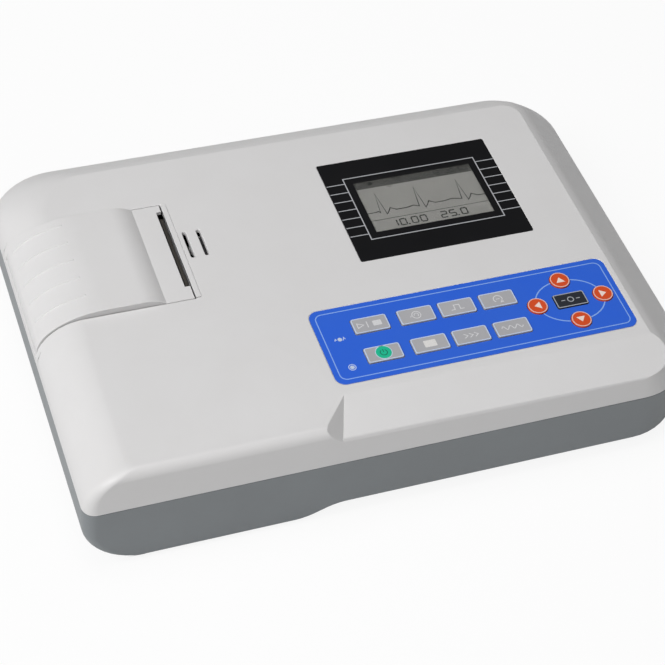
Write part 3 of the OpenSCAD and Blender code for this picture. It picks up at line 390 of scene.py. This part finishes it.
def clear_window():
    """Clear moulded plastic with faint wiping scratches. Lamps shine through it."""
    made, tree, shader = blank_material("clear_window")
    place = here(tree)
    wiped = noise(tree, stretched(tree, place, 1.0, 0.08, 1.0), 2340.0, 4.0, 0.7)
    smear = noise(tree, place, 60.0, 3.0)
    shader.inputs["Transmission Weight"].default_value = 1.0
    shader.inputs["IOR"].default_value = 1.45
    feed(tree, shader.inputs["Base Color"],
         mixed(tree, smear, screen(250, 252, 251), (1, 1, 1, 1)))
    feed(tree, shader.inputs["Roughness"], spread(tree, smear, 0.3, 0.7, 0.03, 0.036))
    feed(tree, shader.inputs["Normal"], bumped(tree, wiped, 0.0000008))
    through = add(tree, "BsdfTransparent").outputs[0]
    lamp = add(tree, "LightPath").outputs["Is Shadow Ray"]
    both = add(tree, "MixShader", {0: lamp, 1: shader.outputs[0], 2: through}).outputs[0]
    feed(tree, tree.nodes["Material Output"].inputs["Surface"], both)
    return made


def light_pipe():
    """Milky light guides of the two status lights."""
    return moulded("light_pipe", screen(198, 212, 236), 0.22, screen(184, 200, 228),
                   screen(226, 234, 246), grain=3000.0, depth=0.000006, soil=0.3)


def dome_film():
    return moulded("dome_film", screen(196, 198, 200), 0.3, screen(180, 182, 184),
                   screen(220, 221, 222), grain=3000.0, depth=0.000006, soil=0.5)


def chart_paper():
    """Thermal chart paper: a pale rose millimetre grid outside, wound edges at the ends."""
    made, tree, shader = blank_material("chart_paper")
    place = use(tree, ROUND_ROLL, {})
    away, along = place["Away"], place["Along"]
    low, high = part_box("paper_roll")
    radius = (high.z - low.z) / 2

    def ruled(value, step, width):
        part = sums(tree, "FRACT", sums(tree, "ADD", sums(tree, "DIVIDE", value, step), 0.5))
        off = sums(tree, "ABSOLUTE", sums(tree, "SUBTRACT", part, 0.5))
        return spread(tree, off, width, width * 0.5)
    round_it = sums(tree, "MULTIPLY", place["Angle"], radius)
    fine = sums(tree, "MAXIMUM", ruled(along, MM, 0.12), ruled(round_it, MM, 0.12))
    bold = sums(tree, "MAXIMUM", ruled(along, 5 * MM, 0.04), ruled(round_it, 5 * MM, 0.04))
    inked = sums(tree, "MAXIMUM", sums(tree, "MULTIPLY", fine, 0.35),
                 sums(tree, "MULTIPLY", bold, 0.75))
    outside = spread(tree, away, radius * 0.985, radius * 0.995)
    rings = noise(tree, add(tree, "CombineXYZ", {0: away}).outputs[0], 5200.0, 2.0, 0.7)
    ends = mixed(tree, spread(tree, rings, 0.3, 0.7), screen(240, 236, 228), screen(214, 208, 196))
    sheet = mixed(tree, inked, screen(248, 244, 238), screen(226, 138, 138))
    feed(tree, shader.inputs["Base Color"], mixed(tree, outside, ends, sheet))
    feed(tree, shader.inputs["Roughness"], spread(tree, rings, 0.3, 0.7, 0.5, 0.66))
    feed(tree, shader.inputs["Normal"], bumped(tree, rings, 0.00003))
    return made


def card():
    """Rolled brown card of the paper's core, with the seam of its spiral."""
    made, tree, shader = blank_material("card")
    place = use(tree, ROUND_ROLL, {})
    spiral = sums(tree, "FRACT", sums(tree, "MULTIPLY_ADD", place["Along"], 60.0,
                                      sums(tree, "DIVIDE", place["Angle"], 2 * math.pi)))
    seam = spread(tree, sums(tree, "ABSOLUTE", sums(tree, "SUBTRACT", spiral, 0.5)), 0.47, 0.5)
    fibre = noise(tree, stretched(tree, here(tree), 1.0, 0.3, 1.0), 1500.0, 4.0, 0.7)
    tone = mixed(tree, spread(tree, fibre, 0.3, 0.7), screen(182, 150, 112), screen(158, 126, 90))
    feed(tree, shader.inputs["Base Color"], mixed(tree, seam, tone, screen(116, 90, 62)))
    feed(tree, shader.inputs["Roughness"], spread(tree, fibre, 0.3, 0.7, 0.78, 0.92))
    feed(tree, shader.inputs["Normal"], bumped(tree, fibre, 0.00006))
    return made


def board_green():
    """Solder-masked board with buried tracks and a scatter of bright pads."""
    made, tree, shader = blank_material("board_green")
    place = here(tree)
    bricks = add(tree, "TexBrick", {"Vector": place, "Scale": 190.0, "Mortar Size": 0.09,
                                    "Color1": (1, 1, 1, 1), "Color2": (1, 1, 1, 1),
                                    "Mortar": (0, 0, 0, 1)}).outputs["Fac"]
    dots = add(tree, "TexVoronoi", {"Vector": place, "Scale": 330.0}).outputs["Distance"]
    pad = spread(tree, dots, 0.16, 0.1)
    mask = mixed(tree, bricks, screen(20, 96, 60), screen(44, 128, 84))
    feed(tree, shader.inputs["Base Color"], mixed(tree, pad, mask, screen(206, 200, 182)))
    feed(tree, shader.inputs["Roughness"], sums(tree, "MULTIPLY_ADD", pad, 0.16, 0.26))
    height = sums(tree, "MAXIMUM", bricks, pad)
    feed(tree, shader.inputs["Normal"], bumped(tree, height, 0.00004))
    return made


def winding():
    """Lacquered copper wire in close turns, with painted highlights on each turn's crest and
    painted shade between turns.
    """
    made, tree, shader = blank_material("winding")
    parts = add(tree, "SeparateXYZ", {0: here(tree)}).outputs
    turn = 0.4 * MM
    phase = sums(tree, "MULTIPLY", parts[1], 2 * math.pi / turn)
    crest = sums(tree, "MULTIPLY_ADD", sums(tree, "SINE", phase), 0.5, 0.5)
    uneven = noise(tree, here(tree), 300.0, 2.0)
    # Painted light: the copper colour runs from dark between the turns to light on each crest, as
    # painted shade and painted highlight
    wire = mixed(tree, crest, screen(110, 52, 24), screen(206, 122, 62))
    feed(tree, shader.inputs["Base Color"],
         mixed(tree, spread(tree, uneven, 0.4, 0.7, 0.0, 0.4), wire, screen(150, 84, 40)))
    feed(tree, shader.inputs["Roughness"], spread(tree, crest, 0.0, 1.0, 0.5, 0.25))
    feed(tree, shader.inputs["Normal"], bumped(tree, crest, 0.0001))
    return made


def battery_wrap():
    """Shrink sleeve, drawn tight with faint creases across."""
    made, tree, shader = blank_material("battery_wrap")
    crease = noise(tree, stretched(tree, here(tree), 1.0, 0.25, 1.0), 180.0, 4.0, 0.6)
    tone = mixed(tree, spread(tree, crease, 0.3, 0.7), screen(40, 78, 140), screen(54, 94, 158))
    feed(tree, shader.inputs["Base Color"], tone)
    feed(tree, shader.inputs["Roughness"], spread(tree, crease, 0.3, 0.7, 0.2, 0.36))
    feed(tree, shader.inputs["Normal"], bumped(tree, crease, 0.0003))
    return made


# By plain name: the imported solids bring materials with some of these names, so Blender
# adds a number to the ones made here
FINISHES = {made.name.split(".")[0]: made for made in (
    white_plastic(), grey_plastic(), black_plastic(), mask_film(), keypad_film(), key_grey(),
    key_orange(), key_black(), key_green(), gear_plastic(), head_ceramic(), foot_rubber(),
    roller_rubber(), screw_steel(), sheet_steel(), shaft_steel(), motor_can(), aluminium(),
    brass(), socket_metal(), lcd(), clear_window(), light_pipe(), dome_film(), chart_paper(),
    card(), board_green(), winding(), battery_wrap(),
    ink("frame_ink", screen(188, 190, 194)), ink("pad_ink", screen(146, 184, 248)),
    ink("outline_ink", screen(208, 222, 246)), ink("icon_ink", screen(222, 222, 224)),
    ink("arrow_ink", screen(252, 232, 222)), ink("rim_ink", screen(240, 206, 196)),
    ink("bright_ink", screen(232, 230, 228)), ink("mark_ink", screen(196, 214, 250)),
    ink("deep_green_ink", screen(20, 112, 92)), ink("set_ink", screen(176, 180, 186)),
    ink("lcd_shade_ink", screen(58, 58, 56), 0.3), ink("lcd_dark_ink", screen(30, 32, 30), 0.3))}


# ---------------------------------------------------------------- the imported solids' own skins
# Facet corners closer than this are taken as one, in millimetres
WELD = 0.011
# Edges that bend more than this stay crisp
CRISP_BEND = math.radians(24)
# Edges that bend less than this are dissolved before any edge is eased
FLAT_BEND = math.radians(0.3)
# Edges in the boxes of WIDE_EDGES that bend more than this are eased widely
WIDE_BEND = math.radians(3)
# Any other edge that bends more than this is eased narrowly
EASED_BEND = math.radians(35)

# Widths of the eased edges, in millimetres
KEY_EDGE = 0.3
SOFT_EDGES = {
    "top_cover": 0.3, "bottom_case": 0.5, "printer_door": 0.25, "tear_bar": 0.15,
    "battery_door": 0.3, "keypad_overlay": 0.08, "display_mask": 0.08,
    "mains_inlet": 0.3, "fuse_holders": 0.3, "patient_socket": 0.15, "data_port": 0.15,
    "paper_tray": 0.3, "left_feet": 0.5, "right_feet": 0.8, "earth_terminal": 0.25,
    "paper_spindle": 0.2, "printer_frame": 0.15, "battery_pack": 0.8}
# The bends of the underside's step, and the front edge of the front slope: bevel width, then
# the boxes that hold the edges, all in millimetres
WIDE_EDGES = {
    "bottom_case": (4.5, [((-50.1, -120, 0), (-49.9, 120, 20)),
                          ((-34.6, -120, 0), (-34.4, 120, 20))]),
    "top_cover": (1.9, [((-38, -114, 54), (120, -108, 57.5))])}


def new_skin_group(name):
    """An empty geometry group: its tree, the socket a mesh comes in by and the one it leaves by."""
    tree = bpy.data.node_groups.new(name, "GeometryNodeTree")
    for way in ("INPUT", "OUTPUT"):
        tree.interface.new_socket("Geometry", in_out=way, socket_type="NodeSocketGeometry")
    start, end = tree.nodes.new("NodeGroupInput"), tree.nodes.new("NodeGroupOutput")
    return tree, start.outputs[0], end.inputs[0]


def make_smoothing():
    """Joins a solid's facets, so that curved faces shade smoothly and edges stay crisp."""
    tree, given, out = new_skin_group("smooth_skin")
    welded = place_node(tree, "GeometryNodeMergeByDistance",
                        {"Geometry": given, "Distance": WELD * MM}).outputs[0]
    plain = place_node(tree, "GeometryNodeRemoveAttribute",
                       {"Geometry": welded, "Name": "custom_normal"}).outputs[0]
    smooth = place_node(tree, "GeometryNodeSetShadeSmooth", {"Geometry": plain}).outputs[0]
    bend = place_node(tree, "GeometryNodeInputMeshEdgeAngle").outputs[0]
    sharp = sums(tree, "GREATER_THAN", bend, CRISP_BEND)
    crisp = place_node(tree, "GeometryNodeSetShadeSmooth",
                       {"Geometry": smooth, "Selection": sharp, "Shade Smooth": False},
                       domain="EDGE").outputs[0]
    feed(tree, out, crisp)
    return tree


def make_edge_marks(name, boxes):
    """Gives full bevel weight to the bent edges that lie inside one of the boxes."""
    tree, given, out = new_skin_group(name)
    ends = place_node(tree, "GeometryNodeInputMeshEdgeVertices").outputs
    bend = place_node(tree, "GeometryNodeInputMeshEdgeAngle").outputs["Unsigned Angle"]
    corners = [add(tree, "SeparateXYZ", {0: ends[which]}).outputs
               for which in ("Position 1", "Position 2")]

    def logic(operation, first, second):
        return place_node(tree, "FunctionNodeBooleanMath", {0: first, 1: second},
                          operation=operation).outputs[0]

    def beyond(operation, value, limit):
        return place_node(tree, "FunctionNodeCompare", {"A": value, "B": limit},
                          operation=operation).outputs[0]
    marked = None
    for low, high in boxes:
        inside = beyond("GREATER_THAN", bend, WIDE_BEND)
        for place in corners:
            for i in range(3):
                inside = logic("AND", inside, beyond("GREATER_THAN", place[i], low[i] * MM))
                inside = logic("AND", inside, beyond("LESS_THAN", place[i], high[i] * MM))
        marked = logic("OR", marked, inside) if marked else inside
    stored = place_node(tree, "GeometryNodeStoreNamedAttribute",
                        {"Geometry": given, "Name": "bevel_weight_edge", "Selection": marked,
                         "Value": 1.0}, data_type="FLOAT", domain="EDGE").outputs[0]
    feed(tree, out, stored)
    return tree


def make_box_hold(name, low, high):
    """Holds a solid's eased corners inside the box that it had before."""
    tree, given, out = new_skin_group(name)
    held = place_node(tree, "GeometryNodeInputPosition").outputs[0]
    for operation, bound in (("MAXIMUM", low), ("MINIMUM", high)):
        held = add(tree, "VectorMath", {0: held, 1: bound}, operation=operation).outputs[0]
    moved = place_node(tree, "GeometryNodeSetPosition", {"Geometry": given, "Position": held})
    feed(tree, out, moved.outputs[0])
    return tree


def run_group(solid, name, group):
    solid.modifiers.new(name, "NODES").node_group = group


def ease_edges(solid, name, width, segments, limit):
    ease = solid.modifiers.new(name, "BEVEL")
    ease.width = width * MM
    ease.segments = segments
    ease.limit_method = limit
    ease.angle_limit = EASED_BEND
    ease.use_clamp_overlap = False


def dress_solid(node, solid):
    solid.material_slots[0].material = FINISHES[solid.material_slots[0].material.name]
    run_group(solid, "smooth_skin", SMOOTHING)
    width = KEY_EDGE if node.endswith("_key") else SOFT_EDGES.get(node)
    if not width:
        return
    flat = solid.modifiers.new("whole_faces", "DECIMATE")
    flat.decimate_type = "DISSOLVE"
    flat.angle_limit = FLAT_BEND
    if node in WIDE_EDGES:
        wide, boxes = WIDE_EDGES[node]
        run_group(solid, "wide_edge_marks", make_edge_marks(node + "_wide_edges", boxes))
        ease_edges(solid, "wide_edges", wide, 3, "WEIGHT")
    ease_edges(solid, "eased_edges", width, 2, "ANGLE")
    run_group(solid, "inside_own_box", make_box_hold(node + "_box_hold", *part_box(node)))
    settle = solid.modifiers.new("flat_faces_lead", "WEIGHTED_NORMAL")
    settle.keep_sharp = True


SMOOTHING = make_smoothing()


def dress_solids():
    for node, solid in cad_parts.items():
        dress_solid(node, solid)


# ---------------------------------------------------------------- outlines, in millimetres
def arc(cx, cy, rx, ry, start, end, steps=24):
    angles = [math.radians(start + (end - start) * i / steps) for i in range(steps + 1)]
    return [(cx + rx * math.cos(a), cy + ry * math.sin(a)) for a in angles]


def circle(cx, cy, radius, steps=48):
    return arc(cx, cy, radius, radius, 0, 360, steps)[:-1]


def rounded_rect(x0, y0, x1, y1, radius, steps=8):
    corners = ((x0, y0, 1, 1, 180), (x1, y0, -1, 1, 270), (x1, y1, -1, -1, 0), (x0, y1, 1, -1, 90))
    points = []
    for x, y, sx, sy, start in corners:
        points += arc(x + sx * radius, y + sy * radius, radius, radius, start, start + 90, steps)
    return points


def sides_of(points, width, closed):
    """The two edges of a line of that width drawn through points."""
    count, left, right = len(points), [], []
    for i, point in enumerate(points):
        here_at = Vector(point)
        before = Vector(points[i - 1]) if closed or i else None
        after = Vector(points[(i + 1) % count]) if closed or i < count - 1 else None
        ways = [v.normalized() for v in ((here_at - before) if before else None,
                                         (after - here_at) if after else None) if v]
        normals = [Vector((-v.y, v.x)) for v in ways]
        out = sum(normals, Vector((0, 0))).normalized()
        reach = width / 2 / max(0.5, out.dot(normals[0]))
        left.append(here_at + out * reach)
        right.append(here_at - out * reach)
    return left, right


class Print:
    """Flat shapes of one ink, gathered into one thin raised mesh."""

    def __init__(self, base_z, thick=INK_THICK):
        self.mesh, self.low, self.high = bmesh.new(), base_z, base_z + thick

    def corner(self, point, z):
        return self.mesh.verts.new((point[0] * MM, point[1] * MM, z * MM))

    def patch(self, points):
        """A filled shape with those corners."""
        low = [self.corner(p, self.low) for p in points]
        high = [self.corner(p, self.high) for p in points]
        self.mesh.faces.new(high)
        self.mesh.faces.new(low[::-1])
        for i in range(len(points)):
            j = (i + 1) % len(points)
            self.mesh.faces.new((low[i], low[j], high[j], high[i]))

    def line(self, points, width, closed=False):
        """A line of that width through the points, joined up if it is closed."""
        left, right = sides_of(points, width, closed)
        rows = [(self.corner(a, self.low), self.corner(b, self.low),
                 self.corner(b, self.high), self.corner(a, self.high)) for a, b in zip(left, right)]
        for i in range(len(rows) if closed else len(rows) - 1):
            one, two = rows[i], rows[(i + 1) % len(rows)]
            for k in range(4):
                self.mesh.faces.new((one[k], one[(k + 1) % 4], two[(k + 1) % 4], two[k]))
        if not closed:
            self.mesh.faces.new(rows[0])
            self.mesh.faces.new(rows[-1][::-1])

    def done(self, name, finish, body, slot):
        bmesh.ops.recalc_face_normals(self.mesh, faces=self.mesh.faces)
        hand_over(name, self.mesh, finish, body)


def hand_over(name, mesh, finish, body):
    """Turns the mesh into a named piece that moves with body."""
    data = bpy.data.meshes.new(name)
    mesh.to_mesh(data)
    mesh.free()
    data.materials.append(FINISHES[finish])
    made = bpy.data.objects.new(name, data)
    bpy.context.scene.collection.objects.link(made)
    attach(made, body)


# ---------------------------------------------------------------- display
LCD_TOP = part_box("lcd_glass")[1].z / MM
PICTURE_THICK = 0.01
PICTURE_GAP = 0.001
PICTURE_X = (21.5, 87.2)
BASELINE_Y = 14.4
BEATS_X = (30.8, 51.9, 75.4)
MASK_FRAME = (18.1, 1.8, 90.4, 46.5)
# The side lines stop this far from the mask's edge and from the middle of the frame's line
MASK_EDGE = 0.3
FRAME_EDGE = 0.27
SIDE_LINES_Y = (43.0, 5.8)
SIDE_LINE_COUNT = 7
# The lit bars of each figure, by the usual letters: a at the top, then clockwise, g across
SEGMENTS = {"0": "abcdef", "1": "bc", "2": "abdeg", "3": "abcdg", "5": "acdfg", "7": "abc"}


def display_frame_lines():
    low, high = (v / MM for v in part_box("display_mask"))
    x0, y0, x1, y1 = MASK_FRAME
    lines = Print(DECK_Z)
    lines.line([(x0, y0), (x1, y0), (x1, y1), (x0, y1)], 0.55, closed=True)
    first, last = SIDE_LINES_Y
    for i in range(SIDE_LINE_COUNT):
        y = first + (last - first) * i / (SIDE_LINE_COUNT - 1)
        lines.line([(low.x + MASK_EDGE, y), (x0 - FRAME_EDGE, y)], 0.5)
        lines.line([(x1 + FRAME_EDGE, y), (high.x - MASK_EDGE, y)], 0.5)
    lines.done("display_frame_lines", "frame_ink", "case", "mask_film")


def digit(shape, x, y, wide, tall, width, sign):
    """One seven-segment figure with its lower left corner at x, y."""
    middle, gap = tall / 2, width * 0.15
    spots = {
        "a": ((x + gap, y + tall), (x + wide - gap, y + tall)),
        "b": ((x + wide, y + middle + gap), (x + wide, y + tall - gap)),
        "c": ((x + wide, y + gap), (x + wide, y + middle - gap)),
        "d": ((x + gap, y), (x + wide - gap, y)),
        "e": ((x, y + gap), (x, y + middle - gap)),
        "f": ((x, y + middle + gap), (x, y + tall - gap)),
        "g": ((x + gap, y + middle), (x + wide - gap, y + middle))}
    for name in SEGMENTS[sign]:
        shape.line(spots[name], width)


def figures(shape, text, x, y, wide, tall, width, pitch):
    for sign in text:
        if sign == ".":
            shape.patch(circle(x - pitch * 0.12, y, width * 0.7, 10))
            x += pitch * 0.3
            continue
        if sign != " ":
            digit(shape, x, y, wide, tall, width, sign)
        x += pitch


def heart_trace():
    """One lead's trace: three sharp beats with a low wave after each."""
    points = [(PICTURE_X[0], 19.9), (26.4, 19.9), (28.5, 20.3)]
    for peak in BEATS_X:
        points += [(peak - 1.6, 19.2), (peak, 33.3), (peak + 1.5, 17.6), (peak + 3.0, 19.4),
                   (peak + 4.4, 21.6), (peak + 7.2, 19.7)]
        if peak < BEATS_X[-1]:
            points += [(peak + 13.0, 19.7), (peak + 16.6, 20.5)]
    return points + [(PICTURE_X[1], 19.6)]


def display_picture():
    shade = Print(LCD_TOP, PICTURE_THICK)
    shade.patch([(21.0, 37.6), (87.8, 37.4), (87.8, 44.0), (21.0, 44.0)])
    shade.done("lcd_top_band", "lcd_shade_ink", "case", "lcd")
    dark = Print(LCD_TOP + PICTURE_THICK + PICTURE_GAP, PICTURE_THICK)
    dark.line(heart_trace(), 0.55)
    dark.line([(x, BASELINE_Y) for x in PICTURE_X], 0.3)
    figures(dark, "10.00", 32.0, 8.3, 3.1, 4.2, 0.75, 4.8)
    figures(dark, "25.0", 59.0, 8.3, 3.1, 4.2, 0.75, 4.8)
    dark.patch(circle(31.0, 40.8, 1.3, 16))
    figures(dark, "72", 43.0, 39.3, 1.7, 2.8, 0.42, 2.6)
    figures(dark, "12 30", 65.0, 39.0, 1.7, 2.8, 0.42, 2.6)
    dark.line([(80.3, 39.4), (84.6, 39.4), (84.6, 42.0), (80.3, 42.0)], 0.35, closed=True)
    dark.done("lcd_trace_and_figures", "lcd_dark_ink", "case", "lcd")


# ---------------------------------------------------------------- keypad
PAD_LINE_IN = 2.8
PAD_LINE_RADIUS = 3.4
KEY_FLANGE = 1.0
RING_CENTRE = (99.3, -61.7)
RING_REACH = (17.7, 13.6)
BADGE_RADIUS = 3.85
BADGE_THICK = 0.06
BADGE_LIFT = 0.2
KEY_BODY = "{}_button"


def key_box(key):
    low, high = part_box(key + "_key")
    return low / MM, high / MM


def key_middle(key):
    low, high = key_box(key)
    return (low.x + high.x) / 2, (low.y + high.y) / 2, high.z


def key_face(key):
    """The edges of a key's top, inside the flange below it, and its height."""
    low, high = key_box(key)
    return (low.x + KEY_FLANGE, low.y + KEY_FLANGE,
            high.x - KEY_FLANGE, high.y - KEY_FLANGE, high.z)


def keypad_lines():
    low, high = (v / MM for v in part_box("keypad_overlay"))
    lines = Print(DECK_Z)
    lines.line(rounded_rect(low.x + PAD_LINE_IN, low.y + PAD_LINE_IN, high.x - PAD_LINE_IN,
                            high.y - PAD_LINE_IN, PAD_LINE_RADIUS), 0.5, closed=True)
    cx, cy = RING_CENTRE
    rx, ry = RING_REACH
    for side in (0, 180):
        lines.line(arc(cx, cy, rx, ry, side + 22, side + 72.5), 0.6)
        lines.line(arc(cx, cy, rx, ry, side + 107.5, side + 158), 0.6)
    lines.done("keypad_lines", "pad_ink", "case", "keypad_film")


def status_marks():
    """A short wave and a ring, printed round the two status lights."""
    low, high = (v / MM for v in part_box("status_lights"))
    x = (low.x + high.x) / 2
    upper, lower = high.y - 1.1, low.y + 1.1
    marks = Print(DECK_Z)
    marks.line(circle(x, lower, 1.75, 32), 0.4, closed=True)
    marks.line([(x - 2.7, upper - 0.6), (x - 2.1, upper + 0.5), (x - 1.6, upper - 0.2)], 0.5)
    marks.line([(x + 1.5, upper - 0.9), (x + 2.1, upper + 0.9), (x + 2.7, upper - 0.4)], 0.5)
    marks.done("status_marks", "mark_ink", "case", "keypad_film")


def key_outline(key, inset=0.35, radius=1.0):
    x0, y0, x1, y1, z = key_face(key)
    edge = Print(z)
    path = rounded_rect(x0 + inset, y0 + inset, x1 - inset, y1 - inset, radius)
    edge.line(path, 0.5, closed=True)
    return edge


def grey_key_outlines():
    for key in ("start", "mode", "calibration", "reset", "power", "lead", "speed", "filter"):
        key_outline(key).done(key + "_outline", "outline_ink", KEY_BODY.format(key), "key_grey")


def start_icon(icon, x, y):
    icon.line([(x - 6.6, y + 1.5), (x - 3.4, y), (x - 6.6, y - 1.5)], 0.45, closed=True)
    icon.line([(x - 1.6, y - 2.0), (x - 1.6, y + 2.0)], 0.45)
    icon.patch(rounded_rect(x + 1.2, y - 1.6, x + 5.6, y + 1.6, 0.4, 4))


def mode_icon(icon, x, y):
    icon.line(circle(x, y, 2.2, 32), 0.45, closed=True)
    icon.line(arc(x, y, 1.1, 1.1, -60, 200, 16), 0.4)
    icon.line([(x - 3.3, y - 1.0), (x - 2.6, y)], 0.4)


def calibration_icon(icon, x, y):
    icon.line([(x - 3.4, y - 1.5), (x - 1.4, y - 1.5), (x - 1.4, y + 1.5), (x + 1.4, y + 1.5),
               (x + 1.4, y - 1.5), (x + 3.4, y - 1.5)], 0.5)


def reset_icon(icon, x, y):
    icon.line(arc(x, y, 2.2, 2.2, -40, 230, 28), 0.5)
    icon.patch([(x + 0.5, y - 2.6), (x + 2.6, y - 2.3), (x + 1.6, y - 0.6)])
    icon.line([(x - 1.0, y), (x + 1.0, y)], 0.4)


def lead_icon(icon, x, y):
    icon.patch(rounded_rect(x - 3.1, y - 2.1, x + 3.1, y + 2.1, 0.5, 4))


def speed_icon(icon, x, y):
    for step in (-3.6, -0.9, 1.8):
        icon.line([(x + step, y + 1.3), (x + step + 1.8, y), (x + step, y - 1.3)], 0.45)


def filter_icon(icon, x, y):
    wave = [(x - 5.6 + 11.2 * i / 36, y + 1.1 * math.sin(i * math.pi / 6)) for i in range(37)]
    icon.line(wave, 0.45)


def key_icons():
    drawn = {"start": start_icon, "mode": mode_icon, "calibration": calibration_icon,
             "reset": reset_icon, "lead": lead_icon, "speed": speed_icon, "filter": filter_icon}
    for key, draw in drawn.items():
        x, y, z = key_middle(key)
        icon = Print(z)
        draw(icon, x, y)
        tone = "bright_ink" if key == "lead" else "icon_ink"
        icon.done(key + "_icon", tone, KEY_BODY.format(key), "key_grey")


def power_badge():
    """Green disc with a pale rim and the usual broken ring and bar."""
    x, y, z = key_middle("power")
    y += BADGE_LIFT
    rim = Print(z)
    rim.line(circle(x, y, BADGE_RADIUS + 0.15), 0.4, closed=True)
    rim.done("power_rim", "outline_ink", "power_button", "key_grey")
    disc = Print(z, BADGE_THICK)
    disc.patch(circle(x, y, BADGE_RADIUS))
    disc.done("power_disc", "key_green", "power_button", "key_grey")
    sign = Print(z + BADGE_THICK)
    sign.line(arc(x, y - 0.1, 1.7, 1.7, 125, 415, 28), 0.42)
    sign.line([(x, y + 0.1), (x, y + 1.9)], 0.42)
    sign.done("power_sign", "deep_green_ink", "power_button", "key_grey")


def arrow_keys():
    for key, turn in (("up", 90), ("left", 180), ("down", 270), ("right", 0)):
        x, y, z = key_middle(key)
        rim = Print(z)
        rim.line(circle(x, y, 4.65), 0.45, closed=True)
        rim.done(key + "_rim", "rim_ink", KEY_BODY.format(key), "key_orange")
        arrow = Print(z)
        ahead = Vector((math.cos(math.radians(turn)), math.sin(math.radians(turn))))
        aside = Vector((-ahead.y, ahead.x))
        middle = Vector((x, y))
        arrow.patch([middle + ahead * 1.7, middle - ahead * 1.6 + aside * 2.3,
                     middle - ahead * 1.6 - aside * 2.3])
        arrow.done(key + "_arrow", "arrow_ink", KEY_BODY.format(key), "key_orange")


def set_key():
    key_outline("set", 0.3, 0.8).done("set_outline", "set_ink", "set_button", "key_black")
    x, y, z = key_middle("set")
    mark = Print(z)
    mark.line(circle(x, y, 1.5, 28), 0.5, closed=True)
    for side in (-1, 1):
        mark.line([(x + side * 2.9, y), (x + side * 5.0, y)], 0.5)
    mark.done("set_mark", "set_ink", "set_button", "key_black")


# ---------------------------------------------------------------- camera, light and floor
VIEW_PLACE = (-0.2728, -0.6097, 0.7270)
VIEW_RIGHT = (0.94253, -0.32278, 0.08627)
VIEW_DOWN = (-0.18408, -0.71717, -0.67215)
VIEW_AHEAD = (0.27882, 0.61764, -0.73538)
LENS = 102.62
LAMP_TARGET = (0, 0, 0.03)
LAMP_SIZE = 1.3
ROOM_LIGHT = 0.12


def place_camera():
    data = bpy.data.cameras.new("camera")
    data.lens, data.sensor_width = LENS, 36.0
    data.clip_start, data.clip_end = 0.01, 20.0
    camera = bpy.data.objects.new("camera", data)
    bpy.context.scene.collection.objects.link(camera)
    turn = Matrix((VIEW_RIGHT, -Vector(VIEW_DOWN), -Vector(VIEW_AHEAD))).transposed()
    camera.matrix_world = Matrix.Translation(VIEW_PLACE) @ turn.to_4x4()
    bpy.context.scene.camera = camera


def soft_lamp(name, place, power):
    """A round soft lamp at that place, in metres, turned to the middle of the recorder."""
    data = bpy.data.lights.new(name, "AREA")
    data.shape, data.size, data.energy = "DISK", LAMP_SIZE, power
    lamp = bpy.data.objects.new(name, data)
    bpy.context.scene.collection.objects.link(lamp)
    lamp.location = place
    way = Vector(LAMP_TARGET) - Vector(place)
    lamp.rotation_euler = way.to_track_quat("-Z", "Y").to_euler()


def seen_directly(tree):
    """1 for what the camera sees straight, and 0 for the light in the room."""
    return add(tree, "LightPath").outputs["Is Camera Ray"]


def white_room(ambient):
    """White surroundings, plain white to the camera and a dim light from all sides."""
    world = bpy.data.worlds.new("room")
    bpy.context.scene.world = world
    world.use_nodes = True
    tree = world.node_tree
    back = tree.nodes["Background"]
    back.inputs["Color"].default_value = (1, 1, 1, 1)
    feed(tree, back.inputs["Strength"], spread(tree, seen_directly(tree), 0.0, 1.0, ambient, 1.0))


def pale_floor():
    mesh = bmesh.new()
    bmesh.ops.create_grid(mesh, x_segments=2, y_segments=2, size=6.0)
    data = bpy.data.meshes.new("floor")
    mesh.to_mesh(data)
    mesh.free()
    floor = bpy.data.objects.new("floor", data)
    bpy.context.scene.collection.objects.link(floor)
    made, tree, shader = blank_material("floor_white")
    speck = noise(tree, here(tree), 700.0, 2.0)
    feed(tree, shader.inputs["Base Color"],
         mixed(tree, speck, screen(240, 240, 240), screen(244, 244, 244)))
    shader.inputs["Roughness"].default_value = 0.9
    shader.inputs["Specular IOR Level"].default_value = 0.1
    glow = add(tree, "Emission", {"Color": (1, 1, 1, 1), "Strength": 1.0}).outputs[0]
    share = sums(tree, "MULTIPLY", seen_directly(tree), 0.9)
    feed(tree, tree.nodes["Material Output"].inputs["Surface"],
         add(tree, "MixShader", {0: share, 1: shader.outputs[0], 2: glow}).outputs[0])
    data.materials.append(made)


def light_the_room():
    white_room(ROOM_LIGHT)
    soft_lamp("left_lamp", (-1.6, -0.5, 1.7), 31.7)
    soft_lamp("front_lamp", (-0.5, -1.5, 1.7), 3.5)
    soft_lamp("top_lamp", (-0.3, 0.0, 2.4), 19.5)


# ---------------------------------------------------------------- the whole scene
place_camera()
light_the_room()
pale_floor()
dress_solids()
display_frame_lines()
display_picture()
keypad_lines()
status_marks()
grey_key_outlines()
key_icons()
power_badge()
arrow_keys()
set_key()

bpy.context.scene.view_settings.view_transform = "Standard"
